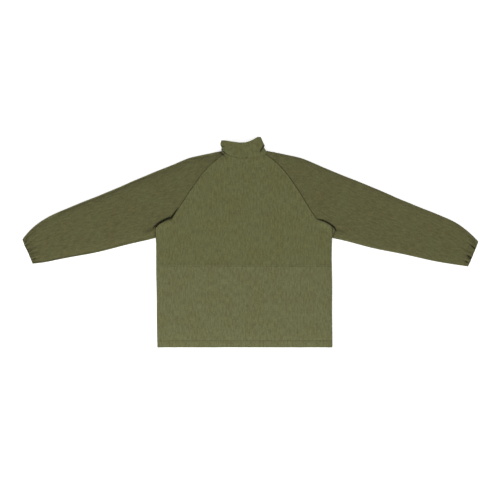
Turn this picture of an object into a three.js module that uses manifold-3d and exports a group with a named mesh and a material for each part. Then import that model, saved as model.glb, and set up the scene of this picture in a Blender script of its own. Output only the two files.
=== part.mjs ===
// A zip-front field jacket with raglan sleeves, elasticated cuffs and a stand collar, laid flat on its
// front with its back up. Units are millimetres. +X runs to the wearer's right, +Y towards the collar and
// +Z up from the surface it lies on. The origin is on that surface, at the middle of the jacket's outline.
// Every piece is one cut and sewn part: cloth panels, facings, zip parts, elastics and the collar.
import * as THREE from "three";
import { mergeVertices } from "three/addons/utils/BufferGeometryUtils.js";
import Module from "manifold-3d";

const wasm = await Module();
wasm.setup();

// ---- Driving dimensions of the garment, measured as it lies flat ----
const CHEST_WIDTH = 640; // underarm to underarm
const BACK_LENGTH = 690; // hem to neck seam at the centre back
const ARMHOLE_DEPTH = 290; // neck seam to underarm
const WAIST_SEAM_HEIGHT = 297; // hem to the seam across the back
const HEM_DEPTH = 24;
const NECK_WIDTH = 160;
const NECK_RISE = 29; // side neck points above the centre back neck seam
const FRONT_NECK_DROP = 35; // centre front neckline below the centre back one
const NECK_CURVE_REACH = 62; // how far out the neckline stays level
const SHOULDER_LENGTH = 124;
const SHOULDER_SLOPE = 11.9; // degrees
const SLEEVE_SLOPE = 22.7; // degrees
const SLEEVE_LENGTH = 699; // shoulder point to cuff, along the sleeve
const UNDERARM_TAPER = 10.4; // degrees that the underarm edge closes on the overarm edge
const CUFF_WIDTH = 94; // flat, with the elastic relaxed
const CUFF_DROP = 38; // the elastic pulls the overarm edge down by this at the cuff
const CUFF_GATHER = 145; // length of sleeve over which it does so
const COLLAR_HEIGHT = 56;
const RAGLAN_START = 0.8; // where along the half neckline the raglan seam starts
const RAGLAN_SWELL = 45; // Bezier handle of the seam near the neck, out from its chord
const RAGLAN_HOLLOW = 16; // and near the underarm, in from its chord

// ---- Loft: how high the laid garment stands ----
const BODY_LOFT = 26;
const CUFF_LOFT = 18;
const SEAM_HEIGHT = 8; // side seams and sleeve edges above the surface
const COLLAR_SEAM_HEIGHT = 14;
const UPPER_ROLL = 40; // width over which the upper cloth rolls down to an edge
const LOWER_ROLL = 22;

// ---- Cloth and clearances ----
const CLOTH = 1.5;
const FACING = 1;
const COLLAR_CLOTH = 1.2;
const GAP = 0.3; // between pieces that touch
const ROUND = 4; // straight steps in a quarter roll

// ---- Centre front and zip ----
const ZIP_LIFT = 4; // the front edges lie on the zip's slider and pull
const FRONT_EDGE = 9; // fold of each front panel from the centre line
const ZIP_STRIP = 24; // the lifted strip's half width
const ZIP_RAMP_END = 60;
const FACING_WIDTH = 50;
const TAPE_WIDTH = 17;
const TAPE = 0.8;
const CHAIN_HALF_WIDTH = 3.4;
const CHAIN_GAP = 1; // half of the slot between the two rows, where the slider's post runs
const CHAIN_HEIGHT = 2.4;
const ZIP_BOTTOM = 9;
const ZIP_END_MARGIN = 8; // tape left free below the neckline
const INSERT_PIN_LENGTH = 15;
const STOP_LENGTH = 3;
const SLIDER = { halfWidth: 6.5, length: 18, plate: 1.5, rest: 14 };
const RUN = 0.4; // running clearance inside the slider
const PULL = { length: 36, halfWidth: 3.6, thickness: 1.6, pin: 0.42, bore: 0.6, drop: 1.2 };
const LUG = { halfWidth: 1.4, halfLength: 1.6, height: 2.2 };
const WIND_FLAP_REACH = 24;

// ---- Patch pockets and the waves of the front panels that hold them open ----
const POCKET = { centre: 180, halfWidth: 77, bottom: 60, height: 175, lift: 6.5, flange: 6, slope: 12 };
const POCKET_WAVE = { halfWidth: 83, ramp: 12 };

// ---- Collar closing ----
const COLLAR_LIFT = 4.3; // the collar's front lies on its throat tab
const COLLAR_ROLL = 24;
const THROAT_TAB = { sewn: -44, ramp: -20, tip: 44, width: 26, above: 17 };
const PATCH = { from: 12, width: 28, height: 20, thickness: 1 };
const COLLAR_SLIT = 1; // between the collar's two front ends
const COLLAR_DIP = 30; // the collar's front top edge dips below its back one
const COLLAR_SPARE = 20; // surplus length, cut off at the neckline
// Each side of the laid collar, as [height above the neck seam, widening]. Its right end leans up.
const COLLAR_LEFT = [[NECK_RISE + 5, -3.5], [NECK_RISE + 20, 8], [COLLAR_HEIGHT + 9, 4]];
const COLLAR_RIGHT = [[NECK_RISE, -3], [NECK_RISE + 24, -9], [COLLAR_HEIGHT + 22, -21]];
// Its top edge, as [across, rise above the collar's height].
const COLLAR_TOP = [[-86, 9], [-84, 9], [-41, 3], [-2, 0], [14, 2], [38, 12], [59, 20], [62, 20]];

const HALF_CHEST = CHEST_WIDTH / 2;
const UNDERARM_HEIGHT = BACK_LENGTH - ARMHOLE_DEPTH;
const NECK_POINT = new THREE.Vector2(NECK_WIDTH / 2, BACK_LENGTH + NECK_RISE);
const UNDERARM = new THREE.Vector2(HALF_CHEST, UNDERARM_HEIGHT);
const FRONT_NECK = BACK_LENGTH - FRONT_NECK_DROP;
const ZIP_TOP = FRONT_NECK - ZIP_END_MARGIN;
const CHAIN_BASE = ZIP_LIFT + CLOTH + GAP - (CHAIN_HEIGHT - TAPE) / 2; // the tape meets the chain's middle
const FAR = 1200; // beyond every piece, for cutting shapes

const radians = THREE.MathUtils.degToRad;
const clamp = THREE.MathUtils.clamp;
const lerp = THREE.MathUtils.lerp;

// ---- Solids: three.js geometry in, manifold joins and cuts, three.js geometry out ----

function solidOf(geometry) {
  const bare = geometry.clone();
  for (const name of Object.keys(bare.attributes)) {
    if (name !== "position") bare.deleteAttribute(name);
  }
  const merged = mergeVertices(bare, 1e-4);
  return new wasm.Manifold(
    new wasm.Mesh({
      numProp: 3,
      vertProperties: merged.attributes.position.array,
      triVerts: new Uint32Array(merged.index.array),
    }),
  );
}

function geometryOf(solid) {
  const mesh = solid.getMesh();
  const geometry = new THREE.BufferGeometry();
  geometry.setAttribute("position", new THREE.BufferAttribute(Float32Array.from(mesh.vertProperties), 3));
  geometry.setIndex(new THREE.BufferAttribute(Uint32Array.from(mesh.triVerts), 1));
  geometry.computeVertexNormals();
  return geometry;
}

function mirrored(solid) {
  const geometry = geometryOf(solid).scale(-1, 1, 1);
  const index = geometry.index.array;
  for (let i = 0; i < index.length; i += 3) [index[i + 1], index[i + 2]] = [index[i + 2], index[i + 1]];
  return solidOf(geometry);
}

function block(x0, x1, y0, y1, z0, z1) {
  const box = new THREE.BoxGeometry(x1 - x0, y1 - y0, z1 - z0);
  return solidOf(box.translate((x0 + x1) / 2, (y0 + y1) / 2, (z0 + z1) / 2));
}

// A plan outline in X and Y, made into a tall cutting prism.
function planPrism(outline) {
  const shape = new THREE.Shape(outline);
  const geometry = new THREE.ExtrudeGeometry(shape, { depth: 400, bevelEnabled: false });
  return solidOf(geometry.translate(0, 0, -200));
}

// A section in X and Z, extruded along Y.
function alongY(outline, y0, y1) {
  const shape = new THREE.Shape(outline);
  const geometry = new THREE.ExtrudeGeometry(shape, { depth: y1 - y0, bevelEnabled: false });
  return solidOf(geometry.rotateX(Math.PI / 2).translate(0, y1, 0));
}

// A closed body through rings of equally many points, with flat ends.
function loft(rings) {
  const count = rings[0].length;
  const index = [];
  for (let r = 0; r + 1 < rings.length; r++) {
    for (let i = 0; i < count; i++) {
      const a = r * count + i;
      const b = r * count + ((i + 1) % count);
      index.push(a, b, a + count, b, b + count, a + count);
    }
  }
  const last = (rings.length - 1) * count;
  for (let i = 1; i + 1 < count; i++) index.push(0, i + 1, i, last, last + i, last + i + 1);
  const geometry = new THREE.BufferGeometry().setFromPoints(rings.flat());
  geometry.setIndex(index);
  return solidOf(geometry);
}

// ---- The laid cloth's section: flat below, lofted above, rolled at both edges ----

// Points (across, up) of the closed outline, taken in by inset on every side.
function rolledSection(low, high, loftHeight, inset, seam, base, rollLimit) {
  const width = high - low;
  const upper = Math.min(rollLimit, width * 0.36);
  const lower = Math.min(LOWER_ROLL, width * 0.3);
  const points = [];
  const quarter = (centre, side, roll, end, from, to) => {
    for (let i = 0; i <= ROUND; i++) {
      const angle = lerp(from, to, i / ROUND);
      const across = centre + side * (roll - inset) * Math.cos(angle);
      points.push(new THREE.Vector2(across, seam + (end - seam) * Math.sin(angle)));
    }
  };
  quarter(low + lower, -1, lower, base + inset, 0, Math.PI / 2);
  quarter(high - lower, 1, lower, base + inset, Math.PI / 2, 0);
  quarter(high - upper, 1, upper, loftHeight - inset, 0, Math.PI / 2);
  quarter(low + upper, -1, upper, loftHeight - inset, Math.PI / 2, 0);
  return points.filter((p, i) => p.distanceTo(points[(i + 1) % points.length]) > 1e-6);
}

const above = (z) => block(-FAR, FAR, -FAR, FAR, z, FAR);
const below = (z) => block(-FAR, FAR, -FAR, FAR, -FAR, z);

// ---- Seam lines in plan ----

function necklinePoints(centreHeight, grow) {
  const start = new THREE.Vector2(0, centreHeight - grow);
  const level = new THREE.Vector2(NECK_CURVE_REACH + grow, centreHeight - grow);
  const end = new THREE.Vector2(NECK_POINT.x + grow, NECK_POINT.y);
  return new THREE.QuadraticBezierCurve(start, level, end);
}

// The region above a neckline, grown outwards by grow.
function neckRegion(centreHeight, grow) {
  const half = necklinePoints(centreHeight, grow).getPoints(10);
  const right = [...half, new THREE.Vector2(half.at(-1).x, FAR)];
  const left = right.map((p) => new THREE.Vector2(-p.x, p.y)).reverse();
  return planPrism([...left.slice(0, -1), ...right]);
}

function raglanCurve() {
  const start = necklinePoints(BACK_LENGTH, 0).getPoint(RAGLAN_START);
  const chord = UNDERARM.clone().sub(start);
  const out = new THREE.Vector2(-chord.y, chord.x).normalize();
  const handle = (share, offset) => start.clone().addScaledVector(chord, share).addScaledVector(out, offset);
  const swell = handle(1 / 3, RAGLAN_SWELL);
  const hollow = handle(2 / 3, -RAGLAN_HOLLOW);
  return new THREE.CubicBezierCurve(start, swell, hollow, UNDERARM);
}

// Everything on the sleeve's side of the right raglan seam.
function sleeveRegion(shift) {
  const seam = raglanCurve().getPoints(12).map((p) => new THREE.Vector2(p.x + shift, p.y));
  const top = new THREE.Vector2(seam[0].x, FAR);
  const bottom = new THREE.Vector2(seam.at(-1).x, -FAR);
  return planPrism([top, ...seam, bottom, new THREE.Vector2(FAR, -FAR), new THREE.Vector2(FAR, FAR)]);
}

const seamShift = GAP * 0.7; // a raglan seam's slope makes this a gap of GAP between its two sides
const rightSleeveArea = sleeveRegion(seamShift);
const rightTorsoEdge = sleeveRegion(-seamShift);
const backNeckHole = neckRegion(BACK_LENGTH, 0);
const frontNeckHole = neckRegion(FRONT_NECK, 0);

function trimTorso(solid, neckHole) {
  return solid.subtract(rightTorsoEdge).subtract(mirrored(rightTorsoEdge)).subtract(neckHole);
}

// ---- Torso ----

// The back layer between two insets from the outer surface.
function backLayer(from, to, y0, y1) {
  const section = (inset) =>
    rolledSection(-HALF_CHEST, HALF_CHEST, BODY_LOFT, inset, SEAM_HEIGHT, 0, UPPER_ROLL);
  const outer = alongY(section(from), y0, y1);
  const inner = alongY(section(to), y0 - 1, y1 + 1);
  return trimTorso(outer.subtract(inner).intersect(above(SEAM_HEIGHT + GAP / 2)), backNeckHole);
}

// The front layer's outline from the side seam to the centre front, raised by inset.
function frontLine(inset, edge) {
  const points = [];
  for (let i = 0; i <= ROUND; i++) {
    const angle = (i / ROUND) * (Math.PI / 2);
    const across = HALF_CHEST - LOWER_ROLL + (LOWER_ROLL - inset) * Math.cos(angle);
    points.push([across, SEAM_HEIGHT - GAP / 2 - (SEAM_HEIGHT - GAP / 2 - inset) * Math.sin(angle)]);
  }
  const waveOut = POCKET.centre + POCKET_WAVE.halfWidth;
  const waveIn = POCKET.centre - POCKET_WAVE.halfWidth;
  points.push([waveOut + POCKET_WAVE.ramp, inset], [waveOut, POCKET.lift + inset]);
  points.push([waveIn, POCKET.lift + inset], [waveIn - POCKET_WAVE.ramp, inset]);
  points.push([ZIP_RAMP_END, inset], [ZIP_STRIP, ZIP_LIFT + inset], [edge, ZIP_LIFT + inset]);
  return points.map(([x, z]) => new THREE.Vector2(x, z));
}

function frontLayer(from, to, y0, y1) {
  const outline = [...frontLine(from, FRONT_EDGE), ...frontLine(to, FRONT_EDGE).reverse()];
  return trimTorso(alongY(outline, y0, y1), frontNeckHole);
}

function frontFacing() {
  const lift = CLOTH + GAP + TAPE + GAP;
  const ramp = (inset) => frontLine(inset, FRONT_EDGE).slice(-2);
  const end = (height) => {
    const share = (ZIP_RAMP_END - FACING_WIDTH) / (ZIP_RAMP_END - ZIP_STRIP);
    return new THREE.Vector2(FACING_WIDTH, height + ZIP_LIFT * share);
  };
  const outline = [end(lift), ...ramp(lift), ...ramp(lift + FACING).reverse(), end(lift + FACING)];
  return trimTorso(alongY(outline, HEM_DEPTH + GAP, FRONT_NECK + FAR / 10), frontNeckHole);
}

// It ends where the front facing starts.
function frontHemFacing() {
  const centre = block(-FACING_WIDTH, FACING_WIDTH, -FAR, FAR, -FAR, FAR);
  return frontLayer(CLOTH + GAP, CLOTH + GAP + FACING, 0, HEM_DEPTH).subtract(centre);
}

function backNeckFacing() {
  const layer = backLayer(CLOTH + GAP, CLOTH + GAP + FACING, BACK_LENGTH - 90, BACK_LENGTH + 60);
  const reach = necklinePoints(BACK_LENGTH, 52).getPoints(10);
  const half = [...reach, new THREE.Vector2(reach.at(-1).x, FAR)];
  const left = half.map((p) => new THREE.Vector2(-p.x, p.y)).reverse();
  return layer.intersect(planPrism([...left.slice(0, -1), ...half]));
}

function hangLoop() {
  const top = BODY_LOFT - CLOTH - GAP - FACING - GAP;
  const half = 30;
  const outline = [
    [-half, top], [-half, top - FACING], [-half + 10, top - FACING], [-half + 18, top - 4],
    [half - 18, top - 4], [half - 10, top - FACING], [half, top - FACING], [half, top],
    [half - 12, top], [half - 19, top - 3], [-half + 19, top - 3], [-half + 12, top],
  ].map(([x, z]) => new THREE.Vector2(x, z));
  return alongY(outline.reverse(), BACK_LENGTH - 14, BACK_LENGTH - 6);
}

function pocket() {
  const top = POCKET.lift - GAP;
  const line = (rise) =>
    [
      [-POCKET.halfWidth, top - CLOTH + rise],
      [-POCKET.halfWidth + POCKET.flange, top - CLOTH + rise],
      [-POCKET.halfWidth + POCKET.flange + POCKET.slope, rise],
      [POCKET.halfWidth - POCKET.flange - POCKET.slope, rise],
      [POCKET.halfWidth - POCKET.flange, top - CLOTH + rise],
      [POCKET.halfWidth, top - CLOTH + rise],
    ].map(([x, z]) => new THREE.Vector2(POCKET.centre + x, z));
  const tray = alongY([...line(0), ...line(CLOTH).reverse()], POCKET.bottom, POCKET.bottom + POCKET.height);
  const end = [...line(0), line(CLOTH).at(-1), line(CLOTH)[0]];
  return tray.add(alongY(end, POCKET.bottom, POCKET.bottom + CLOTH));
}

// ---- Zip ----

function zipTape() {
  const low = ZIP_LIFT + CLOTH + GAP;
  return block(CHAIN_HALF_WIDTH + GAP, TAPE_WIDTH, ZIP_BOTTOM - 5, ZIP_TOP + 4, low, low + TAPE);
}

function chainRow(y0, y1) {
  return block(CHAIN_GAP, CHAIN_HALF_WIDTH, y0, y1, CHAIN_BASE, CHAIN_BASE + CHAIN_HEIGHT);
}

function zipBox() {
  const half = CHAIN_HALF_WIDTH;
  return block(-half, half, 1, ZIP_BOTTOM - GAP, CHAIN_BASE - 0.5, CHAIN_BASE + CHAIN_HEIGHT + 0.5);
}

const CHAIN_END = ZIP_TOP - STOP_LENGTH - GAP;
const sliderCentre = CHAIN_END - SLIDER.rest;
const sliderLow = CHAIN_BASE - RUN - SLIDER.plate;
const sliderHigh = CHAIN_BASE + CHAIN_HEIGHT + RUN + SLIDER.plate;
const pullPivot = { y: sliderCentre - 2, z: sliderLow - PULL.drop };

function xCylinder(radius, halfLength, y, z) {
  const cylinder = new THREE.CylinderGeometry(radius, radius, halfLength * 2, 12);
  return solidOf(cylinder.rotateZ(Math.PI / 2).translate(0, y, z));
}

function zipSlider() {
  const y0 = sliderCentre - SLIDER.length / 2;
  const y1 = sliderCentre + SLIDER.length / 2;
  const body = block(-SLIDER.halfWidth, SLIDER.halfWidth, y0, y1, sliderLow, sliderHigh);
  const chainHalf = CHAIN_HALF_WIDTH + RUN;
  const inside = [sliderLow + SLIDER.plate, sliderHigh - SLIDER.plate];
  const channel = block(-chainHalf, chainHalf, y0 - 1, y1 + 1, ...inside);
  const tapeLow = ZIP_LIFT + CLOTH + GAP;
  const slot = block(-FAR, FAR, y0 - 1, y1 + 1, tapeLow - RUN, tapeLow + TAPE + RUN);
  const post = block(-CHAIN_GAP + RUN, CHAIN_GAP - RUN, y1 - 6, y1 - 1, sliderLow + 0.5, sliderHigh - 0.5);
  const lugTop = sliderLow + 0.5;
  const { y, z } = pullPivot;
  const lugSpan = [y - LUG.halfLength, y + LUG.halfLength, lugTop - LUG.height - 0.5, lugTop];
  const lug = block(-LUG.halfWidth, LUG.halfWidth, ...lugSpan);
  return body.subtract(channel).subtract(slot).add(post).add(lug).subtract(xCylinder(PULL.bore, FAR, y, z));
}

function zipPull() {
  const { y, z } = pullPivot;
  const half = PULL.thickness / 2;
  const tail = block(-PULL.halfWidth, PULL.halfWidth, y - PULL.length, y + half, z - half, z + half);
  const inner = LUG.halfWidth + GAP;
  const window = block(-inner, inner, y - LUG.halfLength - 2, y + half + 1, z - 5, z + 5);
  return tail.subtract(window).add(xCylinder(PULL.pin, inner + 0.5, y, z));
}

function windFlap() {
  const lift = ZIP_LIFT + CLOTH + GAP + TAPE + GAP + FACING + GAP;
  const over = sliderHigh + RUN;
  const line = (rise) =>
    [[-FACING_WIDTH + 20, lift], [-12, lift], [-8, over], [WIND_FLAP_REACH, over]].map(
      ([x, z]) => new THREE.Vector2(x, z + rise),
    );
  return alongY([...line(0), ...line(FACING).reverse()], HEM_DEPTH + GAP, FRONT_NECK - 12);
}

// ---- Sleeves, modelled on the wearer's right ----

const slope = radians(SLEEVE_SLOPE);
const shoulderSlope = radians(SHOULDER_SLOPE);
const sleeveAlong = new THREE.Vector2(Math.cos(slope), -Math.sin(slope));
const sleeveAcross = new THREE.Vector2(Math.sin(slope), Math.cos(slope));
const shoulderVector = new THREE.Vector2(Math.cos(shoulderSlope), -Math.sin(shoulderSlope));
const shoulderPoint = NECK_POINT.clone().addScaledVector(shoulderVector, SHOULDER_LENGTH);
const neckInSleeve = NECK_POINT.clone().sub(shoulderPoint);
const underarmInSleeve = UNDERARM.clone().sub(shoulderPoint);
const shoulderRise = neckInSleeve.dot(sleeveAcross) / neckInSleeve.dot(sleeveAlong);

// The overarm edge and the underarm edge, as distances across the sleeve at a distance along it.
function overarm(s) {
  if (s < 0) return shoulderRise * s;
  return -CUFF_DROP * clamp((s - SLEEVE_LENGTH + CUFF_GATHER) / CUFF_GATHER, 0, 1.2) ** 2.2;
}

function underarm(s) {
  const start = underarmInSleeve.dot(sleeveAlong);
  const taper = Math.tan(radians(UNDERARM_TAPER));
  const straight = (at) => underarmInSleeve.dot(sleeveAcross) + (at - start) * taper;
  const left = -CUFF_DROP - CUFF_WIDTH - straight(SLEEVE_LENGTH); // what the elastic takes up
  const share = clamp((s - SLEEVE_LENGTH + CUFF_GATHER / 2) / (CUFF_GATHER / 2), 0, 1.2);
  return straight(s) + left * share ** 2;
}

function sleeveLoft(s) {
  const start = underarmInSleeve.dot(sleeveAlong);
  return lerp(BODY_LOFT, CUFF_LOFT, clamp((s - start) / (SLEEVE_LENGTH - start), 0, 1));
}

function sleeveRing(s, inset) {
  const section = rolledSection(underarm(s), overarm(s), sleeveLoft(s), inset, SEAM_HEIGHT, 0, UPPER_ROLL);
  return section.map((p) => {
    const at = shoulderPoint.clone().addScaledVector(sleeveAlong, s).addScaledVector(sleeveAcross, p.x);
    return new THREE.Vector3(at.x, at.y, p.y);
  });
}

// Stations are closer where the elastic gathers the sleeve.
function sleeveBody(from, to, inset) {
  const bends = [0, underarmInSleeve.dot(sleeveAlong)];
  const gathers = [1, 0.75, 0.5, 0.3, 0.15].map((share) => SLEEVE_LENGTH - CUFF_GATHER * share);
  const inside = [...bends, ...gathers, SLEEVE_LENGTH].filter((s) => s > from + 1 && s < to - 1);
  return loft([from, ...inside, to].map((s) => sleeveRing(s, inset)));
}

function sleeveTube(from, to, outerInset, innerInset) {
  return sleeveBody(from, to, outerInset).subtract(sleeveBody(from - 5, to + 5, innerInset));
}

const sleeveShell = sleeveTube(-SHOULDER_LENGTH - 40, SLEEVE_LENGTH, 0, CLOTH).intersect(rightSleeveArea);

function sleeveBack() {
  return sleeveShell.intersect(above(SEAM_HEIGHT + GAP / 2)).subtract(backNeckHole);
}

function sleeveFront() {
  return sleeveShell.intersect(below(SEAM_HEIGHT - GAP / 2)).subtract(frontNeckHole);
}

const elasticInset = CLOTH + GAP;
const casingInset = elasticInset + FACING + GAP;
const CASING_DEPTH = 22;

function cuffElastic() {
  return sleeveTube(SLEEVE_LENGTH - CASING_DEPTH + 4, SLEEVE_LENGTH - 4, elasticInset, elasticInset + FACING);
}

function cuffCasing() {
  return sleeveTube(SLEEVE_LENGTH - CASING_DEPTH, SLEEVE_LENGTH, casingInset, casingInset + FACING);
}

// ---- Collar: an open band, flattened, standing on past the neckline ----

// Straight interpolation in a list of [height above the neck seam, widening].
function widening(list, height) {
  const next = list.findIndex(([at]) => at > height);
  if (next < 0) return list.at(-1)[1];
  if (next === 0) return list[0][1];
  const [low, start] = list[next - 1];
  const [high, end] = list[next];
  return lerp(start, end, (height - low) / (high - low));
}

function collarRing(y, inset) {
  const height = y - BACK_LENGTH;
  const left = -NECK_WIDTH / 2 - widening(COLLAR_LEFT, height);
  const right = NECK_WIDTH / 2 + widening(COLLAR_RIGHT, height);
  const points = rolledSection(left, right, BODY_LOFT, inset, COLLAR_SEAM_HEIGHT, COLLAR_LIFT, COLLAR_ROLL);
  return points.map((p) => new THREE.Vector3(p.x, y, p.y)).reverse();
}

function collarBody(inset, spare) {
  const bends = [...COLLAR_LEFT, ...COLLAR_RIGHT].map(([height]) => BACK_LENGTH + height);
  const inside = [...new Set(bends)].sort((a, b) => a - b);
  const stations = [FRONT_NECK - COLLAR_SPARE - spare, ...inside, BACK_LENGTH + 2 * COLLAR_HEIGHT + spare];
  return loft(stations.map((y) => collarRing(y, inset)));
}

// Plan region of one collar layer: inside the neckline or past the side neck points, and under a top
// edge that dips at the centre.
function collarPlan(neckHeight, dip) {
  const top = COLLAR_TOP.map(([x, rise]) => {
    const sag = dip * Math.max(0, 1 - ((2 * x) / NECK_WIDTH) ** 2);
    return new THREE.Vector2(x, BACK_LENGTH + COLLAR_HEIGHT + rise - sag);
  });
  const corners = [[FAR, top.at(-1).y], [FAR, 0], [-FAR, 0], [-FAR, top[0].y]];
  const under = planPrism([...top, ...corners.map(([x, y]) => new THREE.Vector2(x, y))].reverse());
  const beyond = block(-FAR, FAR, NECK_POINT.y + GAP, FAR, -FAR, FAR);
  return neckRegion(neckHeight, -GAP).add(beyond).intersect(under);
}

function collarBand(from, to) {
  const band = collarBody(from, 0).subtract(collarBody(to, COLLAR_SPARE));
  const back = band.intersect(above(SEAM_HEIGHT)).intersect(collarPlan(BACK_LENGTH, 0));
  const front = band.intersect(below(SEAM_HEIGHT)).intersect(collarPlan(FRONT_NECK, COLLAR_DIP));
  const slit = block(-COLLAR_SLIT / 2, COLLAR_SLIT / 2, 0, FAR, -FAR, COLLAR_SEAM_HEIGHT);
  return back.add(front).subtract(slit);
}

function throatTab() {
  const high = COLLAR_LIFT - GAP - COLLAR_CLOTH;
  const line = (rise) =>
    [[THROAT_TAB.sewn, high], [THROAT_TAB.ramp, high], [0, 0], [THROAT_TAB.tip, 0]].map(
      ([x, z]) => new THREE.Vector2(x, z + rise),
    );
  const y0 = FRONT_NECK + THROAT_TAB.above;
  return alongY([...line(0), ...line(COLLAR_CLOTH).reverse()], y0, y0 + THROAT_TAB.width);
}

function closurePatch(z0) {
  const y0 = FRONT_NECK + THROAT_TAB.above + (THROAT_TAB.width - PATCH.height) / 2;
  return block(PATCH.from, PATCH.from + PATCH.width, y0, y0 + PATCH.height, z0, z0 + PATCH.thickness);
}

// ---- Materials ----
const canvas = new THREE.MeshStandardMaterial({ color: 0x69694a, roughness: 0.9 });
const sleeveCanvas = new THREE.MeshStandardMaterial({ color: 0x5c5b3c, roughness: 0.9 });
const lining = new THREE.MeshStandardMaterial({ color: 0x54543a, roughness: 0.95 });
const tapeCloth = new THREE.MeshStandardMaterial({ color: 0x3c3d2b, roughness: 0.8 });
const elastic = new THREE.MeshStandardMaterial({ color: 0xd8d5c8, roughness: 0.8 });
const teeth = new THREE.MeshStandardMaterial({ color: 0x2c2d22, roughness: 0.4 });
const metal = new THREE.MeshStandardMaterial({ color: 0x3a3a32, roughness: 0.35, metalness: 0.9 });
const hookLoop = new THREE.MeshStandardMaterial({ color: 0x3a3b2a, roughness: 1 });

// ---- Assembly ----
const jacket = new THREE.Group();
const COLLAR_PEAK = BACK_LENGTH + COLLAR_HEIGHT + Math.max(...COLLAR_TOP.map(([, rise]) => rise));
jacket.position.y = -COLLAR_PEAK / 2;

function addPiece(name, solid, material) {
  const mesh = new THREE.Mesh(geometryOf(solid), material);
  mesh.name = name;
  jacket.add(mesh);
}

// A piece modelled on the wearer's right and its mirror image on the left.
function addPair(name, solid, material) {
  addPiece(`right_${name}`, solid, material);
  addPiece(`left_${name}`, mirrored(solid), material);
}

addPiece("back_upper_panel", backLayer(0, CLOTH, WAIST_SEAM_HEIGHT + GAP, NECK_POINT.y + 20), canvas);
addPiece("back_lower_panel", backLayer(0, CLOTH, 0, WAIST_SEAM_HEIGHT), canvas);
addPiece("back_hem_facing", backLayer(CLOTH + GAP, CLOTH + GAP + FACING, 0, HEM_DEPTH), lining);
addPiece("back_neck_facing", backNeckFacing(), lining);
addPiece("hang_loop", hangLoop(), tapeCloth);
addPair("front_panel", frontLayer(0, CLOTH, 0, NECK_POINT.y + 20), canvas);
addPair("front_facing", frontFacing(), lining);
addPair("front_hem_facing", frontHemFacing(), lining);
addPair("pocket", pocket(), canvas);
addPair("zip_tape", zipTape(), tapeCloth);
addPiece("left_zip_chain", mirrored(chainRow(ZIP_BOTTOM, CHAIN_END)), teeth);
addPiece("right_zip_chain", chainRow(ZIP_BOTTOM + INSERT_PIN_LENGTH + GAP, CHAIN_END), teeth);
addPiece("zip_insert_pin", chainRow(ZIP_BOTTOM, ZIP_BOTTOM + INSERT_PIN_LENGTH), metal);
addPair("zip_top_stop", chainRow(ZIP_TOP - STOP_LENGTH, ZIP_TOP), metal);
addPiece("zip_retaining_box", zipBox(), metal);
addPiece("zip_wind_flap", windFlap(), lining);
addPair("sleeve_back", sleeveBack(), sleeveCanvas);
addPair("sleeve_front", sleeveFront(), sleeveCanvas);
addPair("cuff_elastic", cuffElastic(), elastic);
addPair("cuff_casing", cuffCasing(), sleeveCanvas);
addPiece("collar_outer", collarBand(0, COLLAR_CLOTH), canvas);
addPiece("collar_lining", collarBand(COLLAR_CLOTH + GAP, COLLAR_CLOTH + GAP + FACING), lining);
addPiece("throat_tab", throatTab(), canvas);
addPiece("throat_loop_patch", closurePatch(COLLAR_LIFT - GAP - PATCH.thickness), hookLoop);
addPiece("throat_hook_patch", closurePatch(COLLAR_CLOTH + GAP), hookLoop);
addPiece("zip_slider", zipSlider(), metal);
addPiece("zip_pull", zipPull(), metal);

export default jacket;
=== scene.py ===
"""Dresses the laid beekeeping jacket: cloth panels with their lay, folds and stitching, zip and studio.

The jacket lies face down with its back up. Every cloth piece is a thin closed sheet that follows one
lay surface: a back layer above and a front layer below that meet along the side seams and sleeve edges.
Plan positions are millimetres from the middle of the hem; they become metres in the shared frame.
"""

import logging
import math
from dataclasses import dataclass, field
from enum import Enum
from typing import Sequence

import bpy
import numpy as np
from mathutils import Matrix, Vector
from mathutils.kdtree import KDTree


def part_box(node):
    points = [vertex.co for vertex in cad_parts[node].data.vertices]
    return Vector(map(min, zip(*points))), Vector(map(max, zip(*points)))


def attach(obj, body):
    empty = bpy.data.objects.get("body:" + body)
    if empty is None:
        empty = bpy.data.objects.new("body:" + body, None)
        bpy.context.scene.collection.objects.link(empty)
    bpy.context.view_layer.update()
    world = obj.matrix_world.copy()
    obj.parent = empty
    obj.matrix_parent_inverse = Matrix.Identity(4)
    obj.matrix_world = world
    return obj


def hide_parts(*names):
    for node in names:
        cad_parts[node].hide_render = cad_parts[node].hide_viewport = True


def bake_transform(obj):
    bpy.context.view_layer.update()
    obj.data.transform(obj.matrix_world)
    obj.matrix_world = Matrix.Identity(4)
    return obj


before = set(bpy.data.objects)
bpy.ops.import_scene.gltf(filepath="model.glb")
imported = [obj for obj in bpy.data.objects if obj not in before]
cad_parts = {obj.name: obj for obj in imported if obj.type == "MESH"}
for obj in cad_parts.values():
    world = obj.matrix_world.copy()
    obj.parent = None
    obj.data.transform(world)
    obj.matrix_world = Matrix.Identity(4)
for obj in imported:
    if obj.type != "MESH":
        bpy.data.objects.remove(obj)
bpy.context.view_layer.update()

LOG = logging.getLogger("jacket")
MM = 0.001
Array = np.ndarray

HEM = 24.0
"""Depth of the turned hem, in millimetres."""
CUFF_SEAM = 22.0
"""From the sleeve's end to the stitching that holds the elastic."""
POCKET_HEM = 22.0
"""Depth of the hem at a pocket's mouth."""
FRONT_EDGE = 9.0
"""From the centre front to each front panel's edge."""
"""How far past the raglan's chord the sleeve's cloth starts to turn, and turns fully."""
"""Between which places on Y the collar's cloth starts to turn, and turns fully, in metres."""


class Side(Enum):
    """The wearer's two sides, with the sign of X that each lies on."""

    RIGHT = 1
    LEFT = -1

    @property
    def word(self) -> str:
        """The side's name as used in piece names."""
        return self.name.lower()


# ---------------------------------------------------------------------------------------- helpers


def bell(x: Array) -> Array:
    """A smooth bump of height 1 and half width about 1."""
    return np.exp(-np.square(x))


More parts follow.
